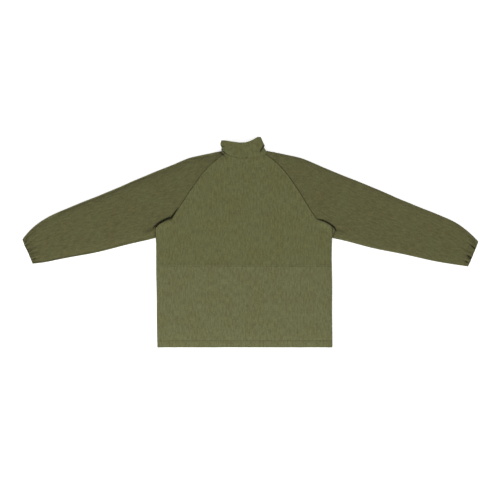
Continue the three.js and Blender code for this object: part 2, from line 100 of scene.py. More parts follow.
def ease(x: Array) -> Array:
    """A smooth step from 0 to 1 as x runs from 0 to 1."""
    t = np.clip(x, 0.0, 1.0)
    return t * t * (3.0 - 2.0 * t)


def bezier(points: Sequence[Sequence[float]], t: Array) -> Array:
    """Points of a Bezier curve.

    Args:
        points: three or four control points.
        t: places along the curve, from 0 to 1.

    Returns:
        One point for each place.
    """
    control = [np.asarray(p, float) for p in points]
    stage = [np.repeat(p[None], len(t), 0) for p in control]
    while len(stage) > 1:
        stage = [a + (b - a) * t[:, None] for a, b in zip(stage, stage[1:])]
    return stage[0]


def arc(points: Array) -> Array:
    """The distance along a polyline at each of its points."""
    steps = np.linalg.norm(np.diff(points, axis=0), axis=1)
    return np.concatenate([[0.0], np.cumsum(steps)])


def along(points: Array, shares: Array) -> Array:
    """Points at the given shares of a polyline's length.

    Args:
        points: the polyline.
        shares: places from 0 to 1.

    Returns:
        One point for each share.
    """
    run = arc(points)
    at = np.asarray(shares) * run[-1]
    return np.stack([np.interp(at, run, points[:, k]) for k in range(points.shape[1])], axis=1)


def distance_to(points: Array, line: Array) -> tuple[Array, Array, Array]:
    """How far points lie from a polyline in plan.

    Args:
        points: (n, 2) points.
        line: (m, 2) polyline.

    Returns:
        The distance, the signed distance (positive on the line's left) and the distance along the line.
    """
    run = arc(line)
    best = np.full(len(points), np.inf)
    signed = np.zeros(len(points))
    place = np.zeros(len(points))
    for i in range(len(line) - 1):
        a, b = line[i], line[i + 1]
        d = b - a
        size = float(d @ d)
        if size < 1e-9:
            continue
        r = points - a
        t = np.clip((r @ d) / size, 0.0, 1.0)
        gap = r - t[:, None] * d
        off = np.linalg.norm(gap, axis=1)
        side = np.sign(d[0] * r[:, 1] - d[1] * r[:, 0])
        near = off < best
        best = np.where(near, off, best)
        signed = np.where(near, off * side, signed)
        place = np.where(near, run[i] + t * math.sqrt(size), place)
    return best, signed, place


@dataclass(frozen=True)
class Ripple:
    """A smooth random height field, the same on every run.

    Attributes:
        seed: picks the field.
        length: the usual distance between crests, in millimetres.
        stretch: how much longer the crests are along Y than across it.
        waves: how many plane waves make it.
    """

    seed: int
    length: float
    stretch: float = 1.0
    waves: int = 28

    def at(self, points: Array) -> Array:
        """The field's height at plan points, with a spread of about 1.

        Args:
            points: plan places, in millimetres.

        Returns:
            One height a point.
        """
        rng = np.random.default_rng(self.seed)
        total = np.zeros(len(points))
        for _ in range(self.waves):
            angle = rng.uniform(0.0, math.pi)
            size = 2.0 * math.pi / (self.length * rng.uniform(0.7, 1.5))
            wave = np.array([math.cos(angle) * size, math.sin(angle) * size / self.stretch])
            total += np.sin(points @ wave + rng.uniform(0.0, 2.0 * math.pi))
        return total / math.sqrt(self.waves / 2.0)


def graded(start: float, end: float, step: float, fine: float, ramp: float) -> Array:
    """Places from start to end that are closer together near both ends.

    Args:
        start: first place.
        end: last place.
        step: spacing in the middle.
        fine: spacing at the ends.
        ramp: distance over which one becomes the other.

    Returns:
        The places, both ends included.
    """
    places = [0.0]
    whole = end - start
    while places[-1] < whole:
        edge = min(places[-1], whole - places[-1])
        places.append(places[-1] + fine + (step - fine) * min(max(edge, 0.0) / ramp, 1.0))
    scale = whole / places[-1]
    return start + np.array(places) * scale


# ------------------------------------------------------------------------------------ the cut and lay


@dataclass(frozen=True)
class SleeveLay:
    """How one sleeve lies, in millimetres.

    Attributes:
        side: whose arm it is.
        drawn: how much longer than the cut it lies, because it is drawn out, or shorter if pushed in.
        slope: fall of the overarm edge, in degrees.
        cuff: width of the laid cuff.
        drop: how far the elastic pulls the overarm edge in at the cuff.
    """

    side: Side
    drawn: float
    slope: float = 22.7
    cuff: float = 97.0
    drop: float = 38.0


@dataclass(frozen=True)
class Lay:
    """The laid garment as lines in plan and heights of its two layers, in millimetres.

    X is measured from the centre back and Y from the hem. Sizes that the solids fix are read from them.
    """

    half: float
    waist: float
    hem_y: float
    neck_x: float = 80.0
    neck_y: float = 719.0
    back_neck: float = 690.0
    front_neck: float = 655.0
    neck_reach: float = 62.0
    underarm_y: float = 400.0
    fold_y: float = 470.0
    pit_reach: tuple[float, float] = (-1.5, 5.5)
    shoulder: float = 124.0
    shoulder_slope: float = 11.9
    sleeve: float = 699.0
    taper: float = 10.4
    loft: float = 26.0
    cuff_loft: float = 18.0
    seam: float = 8.0
    roll: float = 40.0
    sleeves: tuple[SleeveLay, SleeveLay] = (
        SleeveLay(Side.RIGHT, 20.5, 22.5, 101.0, 33.0),
        SleeveLay(Side.LEFT, -20.0, 22.6, 96.0, 40.0),
    )

    @classmethod
    def from_frame(cls) -> "Lay":
        """Reads the outline's fixed places from the solids."""
        low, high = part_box("back_lower_panel")
        hem = low.y / MM
        return cls(half=round(high.x / MM), waist=round(high.y / MM - hem), hem_y=hem)

    def neckline(self, height: float, count: int = 40) -> Array:
        """The neckline from the left side neck point to the right one, level at height in the middle."""
        t = np.linspace(0.0, 1.0, count)
        right = bezier([(0, height), (self.neck_reach, height), (self.neck_x, self.neck_y)], t)
        return np.concatenate([(right * [-1, 1])[::-1], right[1:]])

    def neck_corner(self) -> Array:
        """Where the right raglan seam meets the back neckline."""
        points = [(0, self.back_neck), (self.neck_reach, self.back_neck), (self.neck_x, self.neck_y)]
        return bezier(points, np.array([0.8]))[0]

    def raglan(self, side: Side, count: int = 90) -> Array:
        """The raglan seam from the underarm up to the neckline.

        Args:
            side: which side's.
            count: how many places.

        Returns:
            (count, 2) places.
        """
        start = self.neck_corner()
        end = self.pit(side)
        chord = end - start
        out = np.array([-chord[1], chord[0]]) / np.linalg.norm(chord)
        swell = start + chord / 3.0 + out * 45.0
        hollow = start + chord * 2.0 / 3.0 - out * 16.0
        line = bezier([start, swell, hollow, end], np.linspace(1.0, 0.0, 400))
        above = line[line[:, 1] > self.fold_y]
        bend = above[0]
        turn = [end, end + [2.0, 26.0], end + [1.0, 46.0], end + [-14.0, 52.0], bend + [14.0, -7.0], bend]
        low = bezier(turn, np.linspace(0.0, 1.0, 60))
        line = along(np.concatenate([low[:-1], above]), np.linspace(0.0, 1.0, count))
        return line * [side.value, 1.0]

    def pit(self, side: Side) -> Array:
        """The corner between the torso and the sleeve, on positive X."""
        return np.array([self.half + self.pit_reach[0 if side is Side.RIGHT else 1], self.underarm_y])

    def side_seam(self, side: Side, low: float, high: float) -> Array:
        """The torso's side edge, drawn in a little between hem and underarm."""
        y = np.linspace(low, high, 24)
        corner = self.pit(side)[0]
        x = self.half + (corner - self.half) * y / self.underarm_y
        waver = 0.4 * np.sin(y * 0.031 + side.value) - 0.6 * bell((y - 330.0) / 60.0)
        x += waver * ease((self.underarm_y - y) / 20.0)
        return np.stack([side.value * x, y], axis=1)

    def _frame_of(self, lay: SleeveLay) -> tuple[Array, Array, Array]:
        """The shoulder point and the directions along and across one sleeve, on positive X."""
        dip = math.radians(self.shoulder_slope)
        tilt = math.radians(lay.slope)
        neck = np.array([self.neck_x, self.neck_y])
        shoulder = neck + self.shoulder * np.array([math.cos(dip), -math.sin(dip)])
        run = np.array([math.cos(tilt), -math.sin(tilt)])
        return shoulder, run, np.array([math.sin(tilt), math.cos(tilt)])

    def lay_of(self, side: Side) -> SleeveLay:
        """How that side's sleeve lies."""
        return next(s for s in self.sleeves if s.side is side)

    def overarm(self, side: Side) -> Array:
        """The sleeve's upper edge, from the side neck point to the cuff.

        Args:
            side: which side's.

        Returns:
            (n, 2) places.
        """
        lay = self.lay_of(side)
        shoulder, run, across = self._frame_of(lay)
        whole = self.sleeve + lay.drawn
        s = np.concatenate([np.linspace(0.0, whole - 150.0, 60), np.linspace(whole - 146.0, whole, 40)])
        drop = lay.drop * np.clip((s - whole + 145.0) / 145.0, 0.0, 1.0) ** 2.2
        wander = 0.9 * np.sin(s * 0.021 + 2.0 * side.value) * ease(s / 120.0) + 0.25 * np.sin(s * 0.063)
        arm = shoulder + s[:, None] * run + (wander - drop)[:, None] * across
        neck = np.array([self.neck_x, self.neck_y])
        yoke = neck + np.linspace(0, 1, 16)[:-1, None] * (shoulder - neck)
        line = np.concatenate([yoke, arm])
        even = along(line, np.linspace(0.0, 1.0, 300))
        wide = np.pad(even, ((9, 9), (0, 0)), mode="reflect", reflect_type="odd")
        kernel = np.hanning(21)[1:-1] / np.hanning(21)[1:-1].sum()
        even = np.stack([np.convolve(wide[:, k], kernel, mode="valid") for k in range(2)], axis=1)
        return even * [side.value, 1.0]

    def underarm(self, side: Side) -> Array:
        """The sleeve's lower edge, from the underarm to the cuff.

        Args:
            side: which side's.

        Returns:
            (n, 2) places.
        """
        lay = self.lay_of(side)
        shoulder, run, across = self._frame_of(lay)
        pit = self.pit(side) - shoulder
        start, low = float(pit @ run), float(pit @ across)
        whole = self.sleeve + lay.drawn
        s = np.linspace(start, whole, 120)
        straight = low + (s - start) * math.tan(math.radians(self.taper))
        end = low + (whole - start) * math.tan(math.radians(self.taper))
        drop = lay.drop
        gathered = (-drop - lay.cuff - end) * np.clip((s - whole + 72.0) / 72.0, 0.0, 1.0) ** 2
        hang = -5.0 * np.sin(np.pi * np.clip((s - start) / (whole - start), 0.0, 1.0))
        wander = 1.2 * np.sin(s * 0.027 + side.value) * ease((s - start) / 60.0)
        line = shoulder + s[:, None] * run + (straight + gathered + hang + wander)[:, None] * across
        return line * [side.value, 1.0]

    def edges(self) -> list[Array]:
        """The lines where the two layers meet."""
        lines = []
        for side in Side:
            lines += [self.overarm(side), self.underarm(side), self.side_seam(side, 0.0, self.underarm_y)]
        return lines

    def edge_distance(self, points: Array) -> Array:
        """How far plan points are from the line where the two layers meet."""
        return np.min([distance_to(points, line)[0] for line in self.edges()], axis=0)

    def arm_share(self, points: Array) -> Array:
        """0 at the torso and 1 at the cuffs."""
        reach = self.half + 500.0
        return np.clip((np.abs(points[:, 0]) - self.half) / (reach - self.half), 0.0, 1.0)

    def top(self, points: Array) -> Array:
        """Height of the back layer, without folds."""
        share = self.arm_share(points)
        loft = self.loft - (self.loft - self.cuff_loft) * share
        loft = loft - 9.0 * bell(points[:, 1] / 34.0) * (share <= 0.0)
        roll = self.roll * (1.0 - 0.25 * share)
        d = np.clip(self.edge_distance(points) / roll, 0.0, 1.0)
        return self.seam + 0.2 + (loft - self.seam - 1.2) * np.sqrt(1.0 - np.square(1.0 - d))

    def bottom(self, points: Array) -> Array:
        """Height of the front layer, without folds."""
        d = np.clip(self.edge_distance(points) / 22.0, 0.0, 1.0)
        flat = self.seam - 0.2 - (self.seam - 0.3) * np.sqrt(1.0 - np.square(1.0 - d))
        x, y = np.abs(points[:, 0]), points[:, 1]
        zip_lift = 4.0 * (1.0 - ease((x - 24.0) / 36.0))
        pocket = 6.5 * ease((x - 85.0) / 14.0) * ease((275.0 - x) / 14.0) * (y < 640.0)
        within = np.abs(points[:, 0]) < self.half
        return flat + np.where(within, (zip_lift + pocket * ease((430.0 - y) / 60.0)) * d, 0.0)


@dataclass(frozen=True)
class Crease:
    """One soft fold in the cloth: a ridge that leans over a narrow valley, with painted shade in the valley.

    Attributes:
        line: its route in plan, as three or four control points of a curve, in millimetres.
        width: half width of the ridge.
        height: height of the ridge.
        depth: depth of the valley, on the line.
        lean: how far the ridge leans over the valley. The ridge is on the line's left.
        fade: shares of its length over which it starts and dies out.
        mark: strength of the painted shade in the valley, 0 to 1.
    """

    line: tuple[tuple[float, float], ...]
    width: float
    height: float
    depth: float
    lean: float = 0.0
    fade: tuple[float, float] = (0.3, 0.5)
    mark: float = 1.0

    def shift(self, points: Array) -> tuple[Array, Array]:
        """The move of each plan point, as X, Y and Z, and the painted shade in its valley, 0 to 1.

        Args:
            points: plan places, in millimetres.

        Returns:
            The moves and the painted shade, 0 to 1.
        """
        line = bezier(self.line, np.linspace(0.0, 1.0, 16))
        gap, signed, place = distance_to(points, line)
        share = place / arc(line)[-1]
        weight = ease(share / self.fade[0]) * ease((1.0 - share) / self.fade[1])
        d = line[-1] - line[0]
        normal = np.array([-d[1], d[0]]) / np.linalg.norm(d)
        q = signed / self.width
        far = bell(np.maximum(gap - 2.4 * self.width, 0.0) / self.width)
        ridge = bell((q - 1.15) / 0.85)
        valley = bell(q / 0.42)
        z = weight * far * (self.height * ridge - self.depth * valley)
        push = -self.lean * weight * far * bell((q - 0.8) / 0.7)
        # The second value is painted shade in the valley, for the cloth's darkening.
        return np.stack([normal[0] * push, normal[1] * push, z], axis=1), weight * valley * self.mark


# ------------------------------------------------------------------------------------- cloth sheets


def coons(low: Array, high: Array, left: Array, right: Array, u: Array, v: Array) -> Array:
    """Fills four border lines with a smooth net of plan points.

    Args:
        low: (nu, 2) border at v = 0.
        high: (nu, 2) border at v = 1.
        left: (nv, 2) border at u = 0.
        right: (nv, 2) border at u = 1.
        u: (nu,) shares along low and high.
        v: (nv,) shares along left and right.

    Returns:
        (nu, nv, 2) points.
    """
    across = (1 - v)[None, :, None] * low[:, None] + v[None, :, None] * high[:, None]
    up = (1 - u)[:, None, None] * left[None] + u[:, None, None] * right[None]
    uu, vv = u[:, None, None], v[None, :, None]
    corners = (1 - uu) * ((1 - vv) * low[0] + vv * high[0]) + uu * ((1 - vv) * low[-1] + vv * high[-1])
    return across + up - corners


def spline_weights(coarse: Array, fine: Array) -> Array:
    """Weights that carry values at coarse places smoothly to fine ones.

    Args:
        coarse: the places that have values.
        fine: the places that need them.

    Returns:
        (len(fine), len(coarse)) matrix.
    """
    count = len(coarse)
    place = np.interp(fine, coarse, np.arange(count))
    index = np.clip(np.floor(place).astype(int), 0, count - 2)
    f = place - index
    weights = (
        -0.5 * f + f**2 - 0.5 * f**3,
        1 - 2.5 * f**2 + 1.5 * f**3,
        0.5 * f + 2 * f**2 - 1.5 * f**3,
        -0.5 * f**2 + 0.5 * f**3,
    )
    matrix = np.zeros((len(fine), count))
    rows = np.arange(len(fine))
    for offset, weight in zip((-1, 0, 1, 2), weights):
        np.add.at(matrix, (rows, np.clip(index + offset, 0, count - 1)), weight)
    return matrix


def joined_places(points: Array, reach: float) -> tuple[Array, Array]:
    """Joins plan points that lie on each other.

    Args:
        points: (n, 2) points.
        reach: how near two points are when they count as one.

    Returns:
        The points that are kept, as indices, and each point's place among them.
    """
    tree = KDTree(len(points))
    for index, (x, y) in enumerate(points.tolist()):
        tree.insert((x, y, 0.0), index)
    tree.balance()
    owner = [min(found[1] for found in tree.find_range((x, y, 0.0), reach)) for x, y in points.tolist()]
    first, back = np.unique(owner, return_inverse=True)
    return first, back.ravel()


def lowest_near(heights: Array, reach: int) -> Array:
    """The least of each row's values within reach places."""
    wide = np.pad(heights, ((0, 0), (reach, reach)), mode="edge")
    return np.min([wide[:, k : k + heights.shape[1]] for k in range(2 * reach + 1)], axis=0)


@dataclass
class Border:
    """The four border lines of one cut panel, in plan."""

    low: Array
    high: Array
    left: Array
    right: Array

    def net(self, u: Array, v: Array) -> Array:
        """(nu, nv, 2) plan points at shares u and v."""
        return coons(along(self.low, u), along(self.high, u), along(self.left, v), along(self.right, v), u, v)


def grid_normals(points: Array, cyclic: bool = False) -> Array:
    """Unit normals of a (nu, nv, 3) net, towards the side from which u, v turn anticlockwise."""
    du = np.gradient(points, axis=0)
    if cyclic:
        dv = np.roll(points, -1, axis=1) - np.roll(points, 1, axis=1)
    else:
        dv = np.gradient(points, axis=1)
    normal = np.cross(du, dv)
    return normal / np.maximum(np.linalg.norm(normal, axis=2, keepdims=True), 1e-12)


def inset(net: Array, depth: Array | float, outward: Sequence[float] | None, cyclic: bool = False) -> Array:
    """A net moved inwards from its outer face.

    Args:
        net: (nu, nv, 3) points.
        depth: how far, one value or one for each point.
        outward: a direction that the outer face looks towards, or None for away from the middle.
        cyclic: True if the net closes on itself in v.

    Returns:
        The moved net.
    """
    normal = grid_normals(net, cyclic)
    if outward is None:
        facing = float((normal * (net - net.mean((0, 1)))).sum())
    else:
        facing = float(normal.mean((0, 1)) @ np.asarray(outward, float))
    away = normal * (1.0 if facing > 0 else -1.0)
    return net - away * np.asarray(depth)[..., None]


def row_in(net: Array, edge: str, gap: float) -> Array:
    """A line on a net that runs at a distance in from one of its edges.

    Args:
        net: (nu, nv, 3) points.
        edge: left, right, low or high.
        gap: the distance, along the surface.

    Returns:
        (n, 3) points.
    """
    turned = net.transpose(1, 0, 2)
    walk = {"left": net, "right": net[::-1], "low": turned, "high": turned[::-1]}[edge]
    found = []
    for j in range(walk.shape[1]):
        line = walk[:, j]
        run = arc(line)
        found.append([np.interp(gap, run, line[:, k]) for k in range(3)])
    return np.array(found)


def net_area(points: Array) -> float:
    """The area of a (nu, nv, 2 or 3) net in the square of its unit."""
    p = points if points.shape[2] == 3 else np.concatenate([points, np.zeros((*points.shape[:2], 1))], axis=2)
    d1 = p[1:, 1:] - p[:-1, :-1]
    d2 = p[:-1, 1:] - p[1:, :-1]
    return float(np.linalg.norm(np.cross(d1, d2), axis=2).sum() / 2.0)


class Sheet:
    """A closed thin cloth mesh built on a net of points."""

    @staticmethod
    def build(
        name: str,
        outer: Array,
        thickness: float,
        grain: Array,
        wear: Array | None = None,
        outward: Sequence[float] | None = None,
        cyclic: bool = False,
    ) -> bpy.types.Object:
        """Makes the mesh object.

        Args:
            name: the piece's name.
            outer: (nu, nv, 3) net of the outer face, in millimetres in the shared frame.
            thickness: cloth thickness in millimetres, inwards from the outer face.
            grain: (nu, nv, 2) pattern coordinates in millimetres, V along the grain.
            wear: (nu, nv) darkening, 0 to 1: dark seam and edge lines, and painted shade in the valleys of
                folds and cuff puckers.
            outward: a direction that the outer face looks towards, or None for away from the middle.
            cyclic: True if the net closes on itself in v.

        Returns:
            The new object.
        """
        normal = grid_normals(outer, cyclic)
        if outward is None:
            facing = float((normal * (outer - outer.mean((0, 1)))).sum())
        else:
            facing = float(normal.mean((0, 1)) @ np.asarray(outward, float))
        flip = facing < 0
        normal = -normal if flip else normal
        inner = outer - normal * thickness
        nu, nv = outer.shape[:2]
        points = np.concatenate([outer.reshape(-1, 3), inner.reshape(-1, 3)]) * MM
        index = np.arange(nu * nv).reshape(nu, nv)
        if cyclic:
            index = np.concatenate([index, index[:, :1]], axis=1)
        a, b = index[:-1, :-1].ravel(), index[1:, :-1].ravel()
        c, d = index[1:, 1:].ravel(), index[:-1, 1:].ravel()
        top = np.stack([a, b, c, d], axis=1)
        low = np.stack([d, c, b, a], axis=1) + nu * nv
        runs = [index[:, 0], index[-1], index[::-1, -1], index[0, ::-1]]
        if cyclic:
            runs = [index[-1], index[0, ::-1]]
        walls = []
        for run in runs:
            p, q = run[:-1], run[1:]
            walls.append(np.stack([q, p, p + nu * nv, q + nu * nv], axis=1))
        faces = np.concatenate([top, low, *walls])
        if flip:
            faces = faces[:, ::-1]
        mesh = bpy.data.meshes.new(name)
        mesh.vertices.add(len(points))
        mesh.vertices.foreach_set("co", points.ravel())
        mesh.loops.add(faces.size)
        mesh.loops.foreach_set("vertex_index", faces.ravel().astype(np.int32))
        mesh.polygons.add(len(faces))
        mesh.polygons.foreach_set("loop_start", (np.arange(len(faces)) * 4).astype(np.int32))
        mesh.update(calc_edges=True)
        mesh.polygons.foreach_set("use_smooth", np.ones(len(faces), bool))
        uv = mesh.uv_layers.new(name="grain")
        pair = np.concatenate([grain.reshape(-1, 2)] * 2) * MM
        uv.data.foreach_set("uv", pair[faces.ravel()].ravel())
        seam_and_shade_values = np.zeros((nu, nv)) if wear is None else wear
        # The "seam" attribute holds dark seam lines and painted shade in the valleys of folds and cuff
        # puckers.
        attribute = mesh.attributes.new("seam", "FLOAT", "POINT")
        attribute.data.foreach_set("value", np.concatenate([seam_and_shade_values.ravel()] * 2).astype(np.float32))
        made = bpy.data.objects.new(name, mesh)
        bpy.context.scene.collection.objects.link(made)
        return made


@dataclass
class Drape:
    """The cloth simulation of the back layer, kept as a displacement net for each panel.

    The cut is a little larger than the space that it lies in, so the cloth buckles into soft folds over
    the layer below when it falls.

    Attributes:
        lay: the lay surface.
        ease_torso: spare cloth across and along the torso, as shares.
        ease_sleeve: spare cloth across and along the sleeves.
        frames: simulation steps.
        moves: the displacement of each panel's coarse net, in millimetres, with its places.
    """

    lay: Lay
    ease_torso: tuple[float, float] = (0.016, 0.010)
    ease_sleeve: tuple[float, float] = (0.030, 0.014)
    frames: int = 26
    moves: dict[str, tuple[Array, Array, Array]] = field(default_factory=dict)

    def run(self, borders: dict[str, Border], places: dict[str, tuple[Array, Array]]) -> None:
        """Simulates the joined back layer.

        Args:
            borders: the panels by name.
            places: each panel's coarse shares in u and v; panels that share a seam share its places.
        """
        nets = {n: borders[n].net(*places[n]) for n in places}
        flat = np.concatenate([net.reshape(-1, 2) for net in nets.values()])
        first, back = joined_places(flat, 0.6)
        points = flat[first]
        edge = self.lay.edge_distance(points)
        height = self.lay.top(points)
        rest = np.concatenate([points, height[:, None]], axis=1)
        faces, offset = [], 0
        for net in nets.values():
            nu, nv = net.shape[:2]
            index = back[offset : offset + nu * nv].reshape(nu, nv)
            quads = np.stack([index[:-1, :-1], index[1:, :-1], index[1:, 1:], index[:-1, 1:]], axis=2)
            faces += [q for q in quads.reshape(-1, 4).tolist() if len(set(q)) > 2]
            offset += nu * nv
        faces = [list(dict.fromkeys(q)) for q in faces]
        start = rest.copy()
        start[:, 2] += 0.35 * Ripple(11, 26.0).at(points) * ease(edge / 20.0)
        moved = self._simulate(start, self._cut(rest), faces, edge, height)
        change = moved - rest
        limit = np.array([5.0, 5.0, 6.5])
        change = np.clip(change, -limit, limit)
        rise = change[:, 2]
        LOG.info("drape: %d points, folds %.1f to %.1f mm", len(points), rise.min(), rise.max())
        offset = 0
        for name, net in nets.items():
            nu, nv = net.shape[:2]
            index = back[offset : offset + nu * nv]
            self.moves[name] = (*places[name], change[index].reshape(nu, nv, 3))
            offset += nu * nv

    def _cut(self, rest: Array) -> Array:
        """The cut pattern's points, larger than the lay by the ease.

        Args:
            rest: the net as laid.

        Returns:
            One place a point.
        """
        cut = rest.copy()
        x, y = rest[:, 0], rest[:, 1]
        sign = np.sign(x)
        tilt = math.radians(18.0)
        run = np.stack([np.cos(tilt) * sign, -np.sin(tilt) * np.ones_like(x)], axis=1)
        across = np.stack([np.sin(tilt) * sign, np.cos(tilt) * np.ones_like(x)], axis=1)
        origin = np.stack([sign * 260.0, np.full_like(x, 520.0)], axis=1)
        relative = rest[:, :2] - origin
        s, q = (relative * run).sum(1), (relative * across).sum(1)
        torso = np.stack([x * self.ease_torso[0], (y - 300.0) * self.ease_torso[1]], axis=1)
        join = origin * [self.ease_torso[0], 0.0]
        arm = join + run * (s * self.ease_sleeve[1])[:, None] + across * (q * self.ease_sleeve[0])[:, None]
        weight = ease((np.abs(x) - 200.0) / 160.0)[:, None]
        cut[:, :2] += torso * (1 - weight) + arm * weight
        return cut

    def _simulate(self, start: Array, cut: Array, faces: list, edge: Array, height: Array) -> Array:
        """Runs the solver and returns the draped points in millimetres.

        Args:
            start: the points at the first frame.
            cut: the points of the cut.
            faces: the net's faces.
            edge: each point's distance from the outline.
            height: the lay's own height at each point.

        Returns:
            One place a point.
        """
        scene = bpy.context.scene
        mesh = bpy.data.meshes.new("drape")
        mesh.from_pydata((start * MM).tolist(), [], faces)
        mesh.update()
        cloth = bpy.data.objects.new("drape", mesh)
        scene.collection.objects.link(cloth)
        cloth.shape_key_add(name="Basis")
        key = cloth.shape_key_add(name="cut")
        key.data.foreach_set("co", (cut * MM).ravel())
        key.value = 0.0
        pins = cloth.vertex_groups.new(name="pins")
        y = start[:, 1]
        held = np.where((edge < 1.0) | ((y > 680.0) & (np.abs(start[:, 0]) < 78.0)), 1.0, 0.0)
        held = np.maximum(held, ease((np.abs(start[:, 0]) - 770.0) / 30.0))
        for i in np.nonzero(held > 0)[0].tolist():
            pins.add([i], float(held[i]), "REPLACE")
        below = start.copy()
        below[:, 2] = height - 0.9 - 4.0 * ease(edge / 45.0)
        form_mesh = bpy.data.meshes.new("form")
        form_mesh.from_pydata((below * MM).tolist(), [], faces)
        form = bpy.data.objects.new("form", form_mesh)
        scene.collection.objects.link(form)
        form.modifiers.new("Collision", "COLLISION")
        form.collision.thickness_outer = 0.0005
        form.collision.cloth_friction = 20.0
        modifier = cloth.modifiers.new("Cloth", "CLOTH")
        settings = modifier.settings
        settings.quality = 5
        settings.mass = 0.15
        settings.tension_stiffness = 40.0
        settings.compression_stiffness = 40.0
        settings.shear_stiffness = 12.0
        settings.bending_stiffness = 0.6
        settings.air_damping = 1.5
        settings.tension_damping = 8.0
        settings.compression_damping = 8.0
        settings.vertex_group_mass = "pins"
        settings.rest_shape_key = cloth.data.shape_keys.key_blocks["cut"]
        modifier.collision_settings.use_self_collision = False
        modifier.collision_settings.distance_min = 0.0008
        modifier.point_cache.frame_start = 1
        modifier.point_cache.frame_end = self.frames
        for step in range(1, self.frames + 1):
            scene.frame_set(step)
        done = cloth.evaluated_get(bpy.context.evaluated_depsgraph_get())
        result = np.zeros(len(start) * 3, np.float32)
        done.data.vertices.foreach_get("co", result)
        scene.frame_set(1)
        for item in (cloth, form):
            data = item.data
            bpy.data.objects.remove(item)
            bpy.data.meshes.remove(data)
        return result.reshape(-1, 3).astype(float) / MM

    def at(self, name: str, u: Array, v: Array) -> Array:
        """The displacement of a panel at shares u and v, in millimetres."""
        if name not in self.moves:
            return np.zeros((len(u), len(v), 3))
        coarse_u, coarse_v, moves = self.moves[name]
        wu, wv = spline_weights(coarse_u, u), spline_weights(coarse_v, v)
        return np.einsum("ai,bj,ijk->abk", wu, wv, moves)


# ------------------------------------------------------------------------------------------ finishes


def srgb(red: float, green: float, blue: float) -> tuple[float, float, float, float]:
    """A screen colour, 0 to 255, as the linear colour a shader takes."""
    parts = [c / 255.0 for c in (red, green, blue)]
    lin = [c / 12.92 if c <= 0.04045 else ((c + 0.055) / 1.055) ** 2.4 for c in parts]
    return (lin[0], lin[1], lin[2], 1.0)


class Nodes:
    """A short way to add and join shader or geometry nodes in one tree."""

    def __init__(self, tree: bpy.types.NodeTree) -> None:
        """Starts on an empty tree."""
        self.tree = tree
        tree.nodes.clear()

    def add(self, kind: str, **inputs: object) -> bpy.types.Node:
        """Adds a node and sets its inputs.

        Args:
            kind: the node's type.
            inputs: values or sockets by input name, with spaces as underscores. A name that is a
                property of the node is set on the node.

        Returns:
            The node.
        """
        node = self.tree.nodes.new(kind)
        rows = []
        for key, value in inputs.items():
            if hasattr(node, key) and not isinstance(value, bpy.types.NodeSocket):
                setattr(node, key, value)
            else:
                rows.append((key, value))
        for key, value in rows:
            numbered = key[0] == "i" and key[1:].isdigit()
            socket = node.inputs[int(key[1:]) if numbered else key.replace("_", " ")]
            if isinstance(value, bpy.types.NodeSocket):
                self.tree.links.new(value, socket)
            else:
                socket.default_value = value
        return node

    def ramp(
        self, factor: bpy.types.NodeSocket, stops: Sequence[tuple[float, tuple]]
    ) -> bpy.types.NodeSocket:
        """A colour ramp's output over the given stops."""
        node = self.tree.nodes.new("ShaderNodeValToRGB")
        self.tree.links.new(factor, node.inputs[0])
        elements = node.color_ramp.elements
        elements[0].position, elements[0].color = stops[0]
        elements[1].position, elements[1].color = stops[-1]
        for position, colour in stops[1:-1]:
            elements.new(position).color = colour
        return node.outputs[0]

    def noise(self, at: bpy.types.NodeSocket, scale: float, detail: float) -> bpy.types.NodeSocket:
        """A flat noise of about 0.5 at the given coordinates."""
        inputs = {"Vector": at, "Scale": scale, "Detail": detail, "Roughness": 0.6}
        return self.add("ShaderNodeTexNoise", noise_dimensions="2D", **inputs).outputs[0]

    def scaled(self, at: bpy.types.NodeSocket, across: float, along_it: float) -> bpy.types.NodeSocket:
        """Coordinates scaled across and along the grain."""
        return self.add("ShaderNodeMapping", Vector=at, Scale=(across, along_it, 1.0)).outputs[0]

    def total(self, *terms: tuple[bpy.types.NodeSocket, float]) -> bpy.types.NodeSocket:
        """The weighted sum of some values."""
        whole = None
        for socket, weight in terms:
            part = self.add("ShaderNodeMath", operation="MULTIPLY", i0=socket, i1=weight).outputs[0]
            if whole is not None:
                part = self.add("ShaderNodeMath", operation="ADD", i0=whole, i1=part).outputs[0]
            whole = part
        return whole

    def ribs(self, at: bpy.types.NodeSocket, axis: str, pitch: float, waver: float) -> bpy.types.NodeSocket:
        """Even ribs along one axis, pitch of them to a metre over two pi."""
        inputs = {"Vector": self.scaled(at, pitch, pitch), "Scale": 1.0, "Distortion": waver, "Detail": 1.0}
        return self.add("ShaderNodeTexWave", bands_direction=axis, **inputs).outputs[1]


def shade(colour: tuple[float, ...], factor: float) -> tuple[float, float, float, float]:
    """A colour made darker or lighter."""
    return tuple(min(c * factor, 1.0) for c in colour[:3]) + (1.0,)


